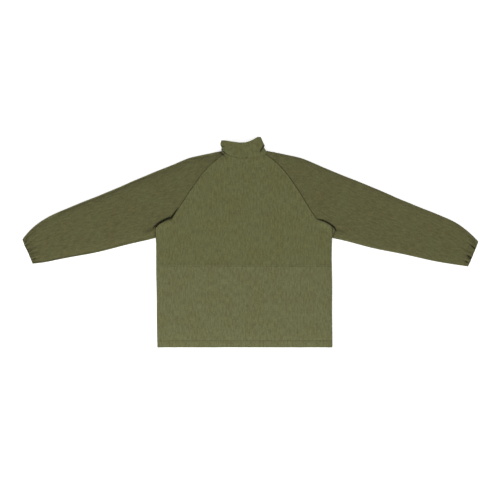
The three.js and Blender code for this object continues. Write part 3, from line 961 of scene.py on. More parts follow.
@dataclass(frozen=True)
class SlubCloth:
    """A plain-woven cotton with uneven yarns: short streaks along the grain, a fine weave, dark seams and
    painted shade in folds.

    Attributes:
        name: the material's name.
        colour: the cloth's colour.
        streak: strength of the yarn streaks.
        wear: how much darker the cloth is at seams and under the painted shade in folds and puckers; below 1
            darkens.
        weave: strength of the weave's bump.
        drift: how much the dye varies over a hand's breadth.
    """

    name: str
    colour: tuple[float, float, float, float]
    streak: float = 0.36
    wear: float = 0.22
    weave: float = 0.5
    drift: float = 0.10

    def material(self) -> bpy.types.Material:
        """Builds the material once and returns it.

        Returns:
            The material.
        """
        known = bpy.data.materials.get(self.name)
        if known:
            return known
        made = bpy.data.materials.new(self.name)
        made.use_nodes = True
        n = Nodes(made.node_tree)
        uv = n.add("ShaderNodeUVMap", uv_map="grain").outputs[0]
        yarn = n.noise(n.scaled(uv, 560.0, 70.0), 1.0, 3.0)
        slub = n.noise(n.scaled(uv, 170.0, 44.0), 1.0, 2.0)
        pick = n.noise(n.scaled(uv, 60.0, 480.0), 1.0, 2.0)
        fleck = n.noise(uv, 210.0, 3.0)
        streaks = n.total((yarn, 0.22), (slub, 0.38), (pick, 0.08), (fleck, 0.32))
        dark, light = shade(self.colour, 1 - self.streak), shade(self.colour, 1 + self.streak)
        tone = n.ramp(streaks, [(0.38, dark), (0.5, self.colour), (0.62, light)])
        red, green, blue = self.colour[:3]
        warm = shade((red * 1.05, green * 0.97, blue * 0.88), 1.0 - self.drift * 0.6)
        cool = shade((red * 0.98, green * 1.02, blue * 1.02), 1.0 + self.drift * 0.4)
        dye = n.ramp(n.noise(uv, 14.0, 6.0), [(0.36, warm), (0.64, cool)])
        blend = n.add("ShaderNodeMix", data_type="RGBA", i0=0.4, i6=tone, i7=dye).outputs[2]
        # The cloth darkens by the "seam" attribute: dark seams, and painted shade in fold and cuff pucker
        # valleys.
        seam = n.add("ShaderNodeAttribute", attribute_name="seam").outputs[2]
        deep = shade((red, green * 0.97, blue * 0.5), self.wear)
        mixed = n.add("ShaderNodeMix", data_type="RGBA", i0=seam, i6=blend, i7=deep).outputs[2]
        warp, weft = n.ribs(uv, "X", 330.0, 1.5), n.ribs(uv, "Y", 330.0, 1.5)
        height = n.total((warp, 0.22), (weft, 0.22), (yarn, 0.5), (slub, 0.7), (fleck, 0.5))
        bump = n.add("ShaderNodeBump", Height=height, Strength=self.weave, Distance=0.0007).outputs[0]
        span = {"From_Min": 0.3, "From_Max": 0.7, "To_Min": 0.86, "To_Max": 0.98}
        rough = n.add("ShaderNodeMapRange", Value=yarn, **span).outputs[0]
        shader = n.add(
            "ShaderNodeBsdfPrincipled",
            Base_Color=mixed,
            Roughness=rough,
            Normal=bump,
            Sheen_Weight=0.06,
            Sheen_Roughness=0.6,
            Specular_IOR_Level=0.16,
        )
        out = n.add("ShaderNodeOutputMaterial")
        made.node_tree.links.new(shader.outputs[0], out.inputs[0])
        return made


@dataclass(frozen=True)
class Grained:
    """A solid finish with fine mottling: metal, moulded plastic, elastic, pile or thread.

    Attributes:
        name: the material's name.
        colour: its colour.
        rough: its roughness.
        metal: 1 for metal, else 0.
        grain: spots per metre.
        depth: strength of the bump.
        sheen: weight of a cloth's sheen.
    """

    name: str
    colour: tuple[float, float, float, float]
    rough: float = 0.5
    metal: float = 0.0
    grain: float = 900.0
    depth: float = 0.2
    sheen: float = 0.0

    def material(self) -> bpy.types.Material:
        """Builds the material once and returns it.

        Returns:
            The material.
        """
        known = bpy.data.materials.get(self.name)
        if known:
            return known
        made = bpy.data.materials.new(self.name)
        made.use_nodes = True
        n = Nodes(made.node_tree)
        at = n.add("ShaderNodeTexCoord").outputs[3]
        fine = n.add("ShaderNodeTexNoise", Vector=at, Scale=self.grain, Detail=3.0).outputs[0]
        wide = n.add("ShaderNodeTexNoise", Vector=at, Scale=self.grain / 14.0, Detail=2.0).outputs[0]
        tone = n.ramp(wide, [(0.35, shade(self.colour, 0.72)), (0.65, shade(self.colour, 1.3))])
        limits = {"To_Min": self.rough * 0.8, "To_Max": min(self.rough * 1.15, 1.0)}
        rough = n.add("ShaderNodeMapRange", Value=fine, From_Min=0.3, From_Max=0.7, **limits).outputs[0]
        bump = n.add("ShaderNodeBump", Height=fine, Strength=self.depth, Distance=0.0003).outputs[0]
        shader = n.add(
            "ShaderNodeBsdfPrincipled",
            Base_Color=tone,
            Roughness=rough,
            Normal=bump,
            Metallic=self.metal,
            Sheen_Weight=self.sheen,
        )
        out = n.add("ShaderNodeOutputMaterial")
        made.node_tree.links.new(shader.outputs[0], out.inputs[0])
        return made


SHELL = SlubCloth("olive_slub_cotton", srgb(95, 96, 64))
# YOKE_PAINTED_SHADE and SLEEVE_PAINTED_SHADE are SHELL's cotton made darker: painted shade on the upper back,
# the collar and the sleeves.
YOKE_PAINTED_SHADE = SlubCloth("olive_slub_cotton_yoke", srgb(91, 92, 58))
SLEEVE_PAINTED_SHADE = SlubCloth("olive_slub_cotton_sleeves", srgb(85, 84, 53))
FACING = SlubCloth("olive_facing_cotton", srgb(76, 76, 50), streak=0.12, wear=0.5)
TAPE = SlubCloth("dark_olive_tape", srgb(50, 51, 36), streak=0.1, wear=0.7, weave=0.7)
THREAD = Grained("olive_thread", srgb(112, 110, 78), rough=0.7, grain=2500.0, depth=0.4, sheen=0.2)
ELASTIC = Grained("ribbed_elastic", srgb(205, 200, 185), rough=0.75, grain=1500.0, depth=0.6, sheen=0.2)
PILE = Grained("hook_and_loop_pile", srgb(60, 61, 44), rough=0.95, grain=3000.0, depth=1.0, sheen=0.5)
TOOTH = Grained("moulded_zip_teeth", srgb(48, 49, 36), rough=0.4, grain=700.0, depth=0.1)
METAL = Grained("dark_painted_metal", srgb(66, 66, 56), rough=0.35, metal=0.9, grain=1200.0, depth=0.15)


def dress(piece: bpy.types.Object, finish: SlubCloth | Grained) -> None:
    """Gives a piece one finish all over."""
    piece.data.materials.clear()
    piece.data.materials.append(finish.material())


# ------------------------------------------------------------------------------------------- panels


@dataclass(frozen=True)
class SeamLine:
    """One sewn line in plan, in millimetres.

    Attributes:
        line: the polyline.
        side: +1 if its allowance is pressed to its left, -1 if to its right.
        dark: how dark the join is, 0 to 1.
        hidden: length at its start that a fold hides, where the join is left plain.
        dashed: share of the darkness that comes and goes along it.
    """

    line: Array
    side: float
    dark: float = 1.0
    hidden: float = 0.0
    dashed: float = 0.25


@dataclass
class Seams:
    """The sewn lines of one layer and what they do to the cloth beside them, in millimetres.

    Attributes:
        lines: the seams.
        groove: depth of the join.
        allowance: width of the pressed allowance.
    """

    lines: list[SeamLine]
    groove: float = 1.7
    allowance: float = 7.0

    def shape(self, points: Array) -> tuple[Array, Array]:
        """The change of height at plan points, and their closeness to a seam.

        Args:
            points: plan places, in millimetres.

        Returns:
            One value of each a point.
        """
        rise = np.zeros(len(points))
        near = np.zeros(len(points))
        for seam in self.lines:
            gap, signed, place = distance_to(points, seam.line)
            q = signed * seam.side
            shown = ease((place - seam.hidden) / 25.0) if seam.hidden else np.ones(len(points))
            pressed = ease((q + 0.4) / 1.2) * ease((self.allowance + 0.8 - q) / 1.6)
            pucker = 0.32 * np.sin(place * 0.83 + 1.3 * np.sin(place * 0.05)) * bell((q - 4.0) / 5.0)
            join = bell(gap / 1.5) * (0.35 + 0.65 * seam.dark)
            rise += (0.65 * pressed + pucker - self.groove * join) * (0.3 + 0.7 * shown)
            beat = np.sin(place * 0.16 + 2.0 * np.sin(place * 0.037)) * np.sin(place * 0.061 + 1.0)
            mark = 1.0 - seam.dashed + seam.dashed * 2.0 * np.clip(beat, 0.0, 1.0)
            near = np.maximum(near, bell(gap / 1.5) * np.clip(seam.dark * mark, 0.0, 1.0) * shown)
        return rise, near


@dataclass
class Garment:
    """The body of the jacket: its cut panels, draped, creased and sewn.

    Attributes:
        lay: the lay surface.
        cloth: cloth thickness in millimetres.
        step: spacing of the fine nets.
        drape: the cloth simulation.
        creases: folds pressed into the back layer, with painted shade in their valleys.
        crown: height past which a ridge is pressed down.
        made: the pieces built so far, by the node that each stands for.
        borders: the border lines of each panel.
        cuts: each piece's flat size and the area of its cut, in metres.
        nets: the outer faces of the pieces, in millimetres.
    """

    lay: Lay
    cloth: float = 1.2
    step: float = 3.3
    crown: float = 29.5
    drape: Drape | None = None
    creases: tuple[Crease, ...] = ()
    made: dict[str, bpy.types.Object] = field(default_factory=dict)
    borders: dict[str, Border] = field(default_factory=dict)
    cuts: dict[str, tuple[tuple[float, float], float]] = field(default_factory=dict)
    nets: dict[str, Array] = field(default_factory=dict)

    def cut(self) -> None:
        """Draws every panel's border lines."""
        lay = self.lay
        side = {s: lay.side_seam(s, lay.waist, lay.underarm_y) for s in Side}
        low = {s: lay.side_seam(s, 0.0, lay.waist) for s in Side}
        hem = np.array([[-1.0, 0.0], [1.0, 0.0]]) * [abs(low[Side.LEFT][0, 0]), 1.0]
        hem[1, 0] = low[Side.RIGHT][0, 0]
        hem[0, 0] = low[Side.LEFT][0, 0]
        waist = np.stack([low[Side.LEFT][-1], low[Side.RIGHT][-1]])
        corner = lay.neck_corner()
        neck = lay.neckline(lay.back_neck, 160)
        neck = neck[np.abs(neck[:, 0]) < corner[0]]
        neck = np.concatenate([[corner * [-1, 1]], neck, [corner]])
        joined = {s: np.concatenate([side[s][:-1], lay.raglan(s)]) for s in Side}
        self.borders["back_lower_panel"] = Border(hem, waist, low[Side.LEFT], low[Side.RIGHT])
        self.borders["back_upper_panel"] = Border(waist, neck, joined[Side.LEFT], joined[Side.RIGHT])
        for s in Side:
            over = lay.overarm(s)
            bit = bezier(
                [(0, lay.back_neck), (lay.neck_reach, lay.back_neck), (lay.neck_x, lay.neck_y)],
                np.linspace(0.8, 1.0, 8),
            ) * [s.value, 1.0]
            top = np.concatenate([bit[:-1], over])
            under = lay.underarm(s)
            cuff = np.stack([under[-1], over[-1]])
            self.borders[f"{s.word}_sleeve"] = Border(under, top, lay.raglan(s), cuff)
            self._cut_front(s, low[s], side[s], under, over, cuff)

    def _cut_front(self, s: Side, low: Array, side: Array, under: Array, over: Array, cuff: Array) -> None:
        """Draws one front panel's and one sleeve front's border lines.

        Args:
            s: the side.
            low: the side edge up to the waist seam.
            side: the side edge above it.
            under: the sleeve's lower edge.
            over: the sleeve's upper edge.
            cuff: the sleeve's end.
        """
        lay = self.lay
        raglan = lay.raglan(s, 200)
        neck = lay.neckline(lay.front_neck, 300)
        neck = neck[neck[:, 0] > 0] if s is Side.RIGHT else neck[neck[:, 0] < 0][::-1]
        inside = raglan[:, 1] < np.interp(np.abs(raglan[:, 0]), np.abs(neck[:, 0]), neck[:, 1])
        meet = raglan[inside][-1]
        edge = FRONT_EDGE * s.value
        start = np.array([edge, np.interp(FRONT_EDGE, np.abs(neck[:, 0]), neck[:, 1])])
        inner = neck[(np.abs(neck[:, 0]) > 9.5) & (np.abs(neck[:, 0]) < abs(meet[0]) - 0.2)]
        outer = neck[np.abs(neck[:, 0]) > abs(meet[0]) + 0.2]
        hem = np.array([[edge, 0.0], low[0]])
        centre = np.array([[edge, 0.0], start])
        joined = np.concatenate([low[:-1], side[:-1], raglan[inside]])
        high = np.concatenate([[start], inner, [meet]])
        self.borders[f"{s.word}_front_panel"] = Border(hem, high, centre, joined)
        top = np.concatenate([[meet], outer[:-1], over])
        self.borders[f"{s.word}_sleeve_front"] = Border(under, top, raglan[inside], cuff)

    def coarse(self) -> dict[str, tuple[Array, Array]]:
        """Shares of the simulation's nets, equal along shared seams.

        Returns:
            The shares along U and V, by panel.
        """
        lay = self.lay
        across = np.linspace(0.0, 1.0, 98)
        rungs = np.linspace(0.0, 1.0, 58)
        raglan = arc(lay.raglan(Side.RIGHT))[-1]
        side = arc(lay.side_seam(Side.RIGHT, lay.waist, lay.underarm_y))[-1]
        turn = side / (side + raglan)
        rise = np.concatenate([np.linspace(0.0, turn, 16)[:-1], turn + (1 - turn) * rungs])
        reach = np.linspace(0.0, 1.0, 120)
        places = {"back_lower_panel": (across, np.linspace(0, 1, 44)), "back_upper_panel": (across, rise)}
        for s in Side:
            places[f"{s.word}_sleeve"] = (reach, rungs)
        return places

    def shares(self, name: str, step: float) -> tuple[Array, Array]:
        """Fine shares for a panel's net, closer together along its seams."""
        border = self.borders[name]
        wide = max(arc(border.low)[-1], 1.0)
        tall = max(arc(border.left)[-1], arc(border.right)[-1])
        u = graded(0.0, 1.0, step / wide, 0.9 / wide, 16.0 / wide)
        v = graded(0.0, 1.0, step / tall, 0.9 / tall, 16.0 / tall)
        return u, v

    def back_seams(self) -> Seams:
        """The sewn lines of the back layer."""
        lay = self.lay
        lines = [
            SeamLine(lay.raglan(Side.RIGHT), 1.0, 0.95),
            SeamLine(lay.raglan(Side.LEFT), -1.0, 0.75, 0.0, 0.4),
        ]
        for low, high, dark in ((-1.0, -0.2, 0.10), (-0.2, 0.35, 0.18), (0.35, 1.0, 0.42)):
            ends = np.array([[low * lay.half, lay.waist], [high * lay.half, lay.waist]])
            lines.append(SeamLine(ends, 1.0, dark, 0.0, 0.85))
        return Seams(lines, 1.2)

    def fold_in(self, flat: Array, points: Array) -> Array:
        """Presses the creases into points, in place.

        Args:
            flat: plan points.
            points: their places in space, which move.

        Returns:
            The painted shade at each, from the folds' valleys, 0 to 1.
        """
        deep = np.zeros(len(flat))
        for crease in self.creases:
            move, valley = crease.shift(flat)
            points += move
            deep = np.maximum(deep, valley)
        return deep

    def cuff_gathers(self, v: Array, gap: Array, amount: float) -> Array:
        """Height of the puckers that the elastic makes.

        Args:
            v: shares across the sleeve.
            gap: distances from the cuff's end.
            amount: height of the puckers.

        Returns:
            The height of each.
        """
        fade = ease((125.0 - gap) / 110.0) ** 2.4
        wander = 0.5 * np.sin(gap / 21.0 + 9.0 * v) + 0.35 * np.sin(gap / 47.0 + 4.0)
        wave = np.sin(2 * np.pi * (5.4 * v) + wander) + 0.6 * np.sin(2 * np.pi * 9.3 * v - 1.7 * wander + 1.0)
        sharp = 1.0 - 1.6 * np.abs(np.sin(np.pi * 5.4 * v + wander)) ** 0.6
        stitched = 1.1 * bell((gap - CUFF_SEAM) / 2.2)
        return amount * fade * (0.6 * wave + 0.6 * sharp) - stitched - 1.0 * bell(gap / 3.0)

    def back_net(self, name: str, u: Array, v: Array, detail: bool = True) -> tuple[Array, Array, Array]:
        """The back layer's surface over one panel.

        Args:
            name: the panel.
            u: shares along its low border.
            v: shares along its left border.
            detail: False leaves out seams, for pieces that lie under the panel.

        Returns:
            The (nu, nv, 3) net in the shared frame, its darkening (dark seams, and painted shade in folds and
            cuff puckers), and its plan net.
        """
        lay = self.lay
        plan = self.borders[name].net(u, v)
        flat = plan.reshape(-1, 2)
        points = np.concatenate([flat, lay.top(flat)[:, None]], axis=1)
        if self.drape:
            points += self.drape.at(name, u, v).reshape(-1, 3)
        # near starts as painted shade in the creases' valleys.
        near = self.fold_in(flat, points)
        if "sleeve" in name:
            whole = arc(self.borders[name].high)[-1]
            gap = np.repeat((1.0 - u) * whole, len(v))
            vv = np.tile(v, len(u))
            edge = ease(lay.edge_distance(flat) / 9.0)
            puckers = self.cuff_gathers(vv, gap, 2.7)
            points[:, 2] += puckers * edge
            turn = 2.1 if name.startswith("right") else 0.0
            # Painted shade in the valleys of the cuff puckers, broken up along the cuff.
            bite = np.clip(np.sin(vv * 31.0 + 1.7 + turn) + np.sin(vv * 13.0 + 0.4 - turn), 0.0, 1.0)
            dark = (0.2 + 0.8 * bite) * ease((-puckers - 0.3) / 1.4) * ease((42.0 - gap) / 22.0)
            near = np.maximum(near, dark)
        if detail:
            rise, seam = self.back_seams().shape(flat)
            points[:, 2] += rise
            near = np.maximum(near, seam)
            if name == "back_lower_panel":
                stitch = flat[:, 1] - HEM
                points[:, 2] += 0.5 * ease(-stitch / 2.0) - 0.9 * bell(stitch / 1.6)
                points[:, 2] += 0.4 * np.sin(flat[:, 0] * 0.7) * bell((flat[:, 1] - 20.0) / 7.0)
                near = np.maximum(near, 0.35 * bell(stitch / 1.5))
        points[:, 2] += 0.25 * Ripple(5, 34.0).at(flat)
        over = np.maximum(points[:, 2] - self.crown, 0.0)
        points[:, 2] += 3.0 * (1.0 - np.exp(-over / 3.0)) - over
        points[:, 1] += lay.hem_y
        return points.reshape(len(u), len(v), 3), near.reshape(len(u), len(v)), plan

    def grain_of(self, name: str, plan: Array) -> Array:
        """Pattern coordinates with V along the grain."""
        if "sleeve" not in name:
            return plan
        sign = 1.0 if name.startswith("right") else -1.0
        tilt = math.radians(18.0)
        run = np.array([math.cos(tilt) * sign, -math.sin(tilt)])
        across = np.array([math.sin(tilt) * sign, math.cos(tilt)])
        return np.stack([plan @ across + 1000.0 * sign, plan @ run], axis=2)

    def front_net(self, name: str, u: Array, v: Array) -> tuple[Array, Array, Array]:
        """The front layer's surface over one panel, as back_net gives the back's.

        Args:
            name: the panel.
            u: shares along its low border.
            v: shares along its left border.

        Returns:
            The surface, its darkening (dark seams, and painted shade in folds and cuff puckers) and the plan.
        """
        lay = self.lay
        plan = self.borders[name].net(u, v)
        flat = plan.reshape(-1, 2)
        edge = lay.edge_distance(flat)
        points = np.concatenate([flat, lay.bottom(flat)[:, None]], axis=1)
        points[:, 2] += 0.5 * (1.0 + Ripple(21, 46.0).at(flat)) * ease(edge / 30.0)
        folded = points.copy()
        # Folds near the edges, with painted shade in their valleys.
        deep = self.fold_in(flat, folded)
        points += (folded - points) * bell(edge / 16.0)[:, None]
        near = deep * bell(edge / 16.0)
        if "sleeve" in name:
            whole = arc(self.borders[name].high)[-1]
            gap = np.repeat((1.0 - u) * whole, len(v))
            puckers = self.cuff_gathers(np.tile(v, len(u)) + 0.13, gap, 1.7)
            points[:, 2] += (puckers + 2.2) * ease((125.0 - gap) / 110.0) * ease(edge / 9.0)
            # Painted shade in the hollows of the front's cuff puckers.
            near = np.maximum(near, 0.4 * ease((puckers - 1.0) / 2.0))
        seams = [SeamLine(lay.raglan(Side.RIGHT), 1.0, 0.8), SeamLine(lay.raglan(Side.LEFT), -1.0, 0.8)]
        rise, seam = Seams(seams, 1.2).shape(flat)
        points[:, 2] -= rise * ease(edge / 6.0)
        near = np.maximum(near, seam)
        if "panel" in name:
            stitch = flat[:, 1] - HEM
            points[:, 2] += 0.6 * bell(stitch / 1.6) + 0.6 * bell((np.abs(flat[:, 0]) - 15.0) / 1.4)
            near = np.maximum(near, 0.3 * bell(stitch / 1.5))
        points[:, 2] = np.maximum(points[:, 2], 0.12)
        points[:, 1] += lay.hem_y
        return points.reshape(len(u), len(v), 3), near.reshape(len(u), len(v)), plan

    def keep(
        self, piece: bpy.types.Object, node: str, finish: "SlubCloth | Grained", slot: str, plan: Array
    ) -> None:
        """Args:
            piece: the mesh object.
            node: the solid that it stands for.
            finish: its cloth.
            slot: not used.
            plan: (nu, nv, 2 or 3) net of the cut, in millimetres.
        """
        dress(piece, finish)
        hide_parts(node)
        span = [max(arc(plan[:, k])[-1] for k in (0, -1)), max(arc(plan[k])[-1] for k in (0, -1))]
        area = net_area(plan)
        size = [max(value, 10.5) for value in span]
        if area > size[0] * size[1]:
            size = [value * math.sqrt(area / (size[0] * size[1])) * 1.001 for value in size]
        share = min(area, size[0] * size[1])
        self.made[node] = piece
        self.cuts[node] = ((size[0] * MM, size[1] * MM), max(share, 0.31 * size[0] * size[1]) * MM * MM)

    def build_back(self) -> None:
        """Builds the back panels and the sleeve backs."""
        finishes = {"back_lower_panel": SHELL, "back_upper_panel": YOKE_PAINTED_SHADE}
        finishes |= {"right_sleeve": SLEEVE_PAINTED_SHADE, "left_sleeve": SLEEVE_PAINTED_SHADE}
        for name, finish in finishes.items():
            u, v = self.shares(name, self.step)
            net, near, plan = self.back_net(name, u, v)
            node = name if name.startswith("back") else f"{name}_back"
            grain = self.grain_of(name, plan)
            piece = Sheet.build(f"cloth_{node}", net, self.cloth, grain, near, (0, 0, 1))
            self.nets[node] = net
            self.keep(piece, node, finish, "shell_cloth", plan)
            LOG.info("%s: %d faces", node, len(piece.data.polygons))

    def build_front(self) -> None:
        """Builds the front panels and the sleeve fronts."""
        for side in Side:
            for name, node, finish in (
                (f"{side.word}_front_panel", f"{side.word}_front_panel", SHELL),
                (f"{side.word}_sleeve_front", f"{side.word}_sleeve_front", SLEEVE_PAINTED_SHADE),
            ):
                u, v = self.shares(name, self.step + 0.8)
                net, near, plan = self.front_net(name, u, v)
                grain = self.grain_of(name, plan)
                piece = Sheet.build(f"cloth_{node}", net, self.cloth, grain, near, (0, 0, -1))
                self.nets[node] = net
                self.keep(piece, node, finish, "shell_cloth", plan)
                LOG.info("%s: %d faces", node, len(piece.data.polygons))

    def lined(
        self, node: str, net: Array, plan: Array, depth: float, thick: float, up: bool, finish: SlubCloth
    ) -> None:
        """Builds a facing that lies inside a panel.

        Args:
            node: the solid that it stands for.
            net: the panel's outer face where the facing is.
            plan: its plan net.
            depth: how far inside that face the facing lies.
            thick: its thickness.
            up: True on the back layer.
            finish: its cloth.
        """
        outward = (0, 0, 1) if up else (0, 0, -1)
        inner = inset(net, depth, outward)
        piece = Sheet.build(f"cloth_{node}", inner, thick, plan, None, outward)
        self.keep(piece, node, finish, "facing_cloth", plan)

    def build_facings(self) -> None:
        """Builds the turned hems, the neck facing and the two front facings."""
        lay = self.lay
        u, v = self.shares("back_lower_panel", 6.0)
        v = np.linspace(0.0012, HEM / lay.waist, 7)
        net, _, plan = self.back_net("back_lower_panel", u[2:-2], v, False)
        self.lined("back_hem_facing", net, plan, self.cloth + 0.35, 0.8, True, FACING)
        u, _ = self.shares("back_upper_panel", 5.0)
        net, _, plan = self.back_net("back_upper_panel", u, np.linspace(0.885, 0.999, 14), False)
        self.lined("back_neck_facing", net, plan, self.cloth + 0.35, 0.8, True, FACING)
        for side in Side:
            name = f"{side.word}_front_panel"
            whole = arc(self.borders[name].low)[-1]
            tall = arc(self.borders[name].left)[-1]
            sides = np.linspace(42.0 / whole, 0.994, 60)
            net, _, plan = self.front_net(name, sides, np.linspace(0.002, HEM / tall, 7))
            self.lined(f"{side.word}_front_hem_facing", net, plan, self.cloth + 0.35, 0.8, False, FACING)
            strip = np.stack([np.linspace(FRONT_EDGE, 50.0, 9) * side.value, np.full(9, 24.3)], axis=1)
            high = strip + [0.0, lay.front_neck - 24.3]
            high[:, 1] = np.interp(np.abs(high[:, 0]), *lay.neckline(lay.front_neck)[40:].T) - 0.6
            rows = np.linspace(0.0, 1.0, 90)[None, :, None]
            plan = strip[:, None] * (1 - rows) + high[:, None] * rows
            flat = plan.reshape(-1, 2)
            points = np.concatenate([flat, lay.bottom(flat)[:, None]], axis=1).reshape(*plan.shape[:2], 3)
            points += [0.0, lay.hem_y, 2.7]
            self.lined(f"{side.word}_front_facing", points, plan, 0.0, 0.8, False, FACING)

    def on_net(self, node: str, border: str, step: float, u: Array, v: Array) -> Array:
        """Places on a built panel's outer face.

        Args:
            node: the panel's solid.
            border: the name of its border lines.
            step: the spacing that its net was built with.
            u: shares along its low border.
            v: shares along its left border.

        Returns:
            (len(u), len(v), 3) places.
        """
        net = self.nets[node]
        own_u, own_v = self.shares(border, step)
        rows = np.stack([[np.interp(u, own_u, net[:, j, k]) for j in range(len(own_v))] for k in range(3)])
        spots = [[np.interp(v, own_v, rows[k, :, i]) for i in range(len(u))] for k in range(3)]
        return np.stack(spots, axis=2)

    def build_cuffs(self) -> None:
        """Builds each cuff's elastic and the casing that holds it, as rings inside the sleeve's end."""
        for side in Side:
            name = f"{side.word}_sleeve"
            whole = arc(self.borders[name].high)[-1]
            v = np.linspace(0.0, 1.0, 120)
            for node, reach, depth, thick, finish, slot in (
                ("cuff_elastic", (18.0, 4.0), self.cloth + 0.9, 0.6, ELASTIC, "elastic"),
                ("cuff_casing", (CUFF_SEAM, 0.25), self.cloth + 2.1, 0.7, FACING, "shell_cloth"),
            ):
                u = 1.0 - np.linspace(reach[0], reach[1], 9) / whole
                margin = 2.0 * depth / self.lay.lay_of(side).cuff
                inner_v = margin + v * (1.0 - 2.0 * margin)
                upper = self.on_net(f"{name}_back", name, self.step, u, inner_v)
                lower = self.on_net(f"{name}_front", f"{name}_front", self.step + 0.8, u, inner_v)
                depths = np.full((len(u), 1), depth)
                if node == "cuff_casing":
                    depths[-1] = self.cloth + 0.2
                upper[..., 2] = lowest_near(upper[..., 2], 5) - depths
                lower[..., 2] = -lowest_near(-lower[..., 2], 5) + depths
                meet = (upper[..., 2] + lower[..., 2]) / 2.0
                upper[..., 2] = np.maximum(upper[..., 2], np.minimum(meet + 0.1, upper[..., 2] + 1.0))
                lower[..., 2] = np.minimum(lower[..., 2], upper[..., 2] - 0.2)
                inner = np.concatenate([upper, lower[:, ::-1][:, 1:-1]], axis=1)
                run = np.arange(inner.shape[1]) * 1.6
                grain = np.stack(np.broadcast_arrays(run[None], ((1.0 - u) * whole)[:, None]), axis=2)
                piece = Sheet.build(f"cloth_{side.word}_{node}", inner, thick, grain, None, None, True)
                self.keep(piece, f"{side.word}_{node}", finish, slot, inner)

    def build_pockets(self) -> None:
        """Builds the two patch pockets, open at the top, under the waves of the front panels."""
        for side in Side:
            low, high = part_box(f"{side.word}_pocket")
            x = graded(low.x / MM, high.x / MM, 3.6, 1.2, 18.0)
            y = graded(low.y / MM, high.y / MM, 3.6, 1.2, 18.0)
            plan = np.stack(np.meshgrid(x, y, indexing="ij"), axis=2)
            flat = plan.reshape(-1, 2)
            side_gap = np.minimum(flat[:, 0] - x[0], x[-1] - flat[:, 0])
            foot = flat[:, 1] - y[0]
            mouth = y[-1] - flat[:, 1]
            dip = ease((side_gap - 5.0) / 13.0) * ease((foot - 4.0) / 13.0)
            z = 0.2 + 4.6 * (1.0 - dip) + 0.5 * (1.0 + Ripple(31, 40.0).at(flat)) * dip
            folded = mouth - POCKET_HEM
            z += 0.5 * bell((side_gap - 3.0) / 1.2) + 0.5 * bell(folded / 1.6) - 0.25 * ease(-folded / 2.0)
            ends = np.maximum(bell(foot / 1.5), bell(folded / 1.5))
            near = 0.4 * np.maximum(bell(side_gap / 1.5), ends)
            net = np.concatenate([flat, np.maximum(z, 0.1)[:, None]], axis=1).reshape(len(x), len(y), 3)
            node = f"{side.word}_pocket"
            near = near.reshape(len(x), len(y))
            piece = Sheet.build(f"cloth_{node}", net, self.cloth, plan, near, (0, 0, -1))
            self.nets[node] = net
            self.keep(piece, node, SHELL, "shell_cloth", plan)


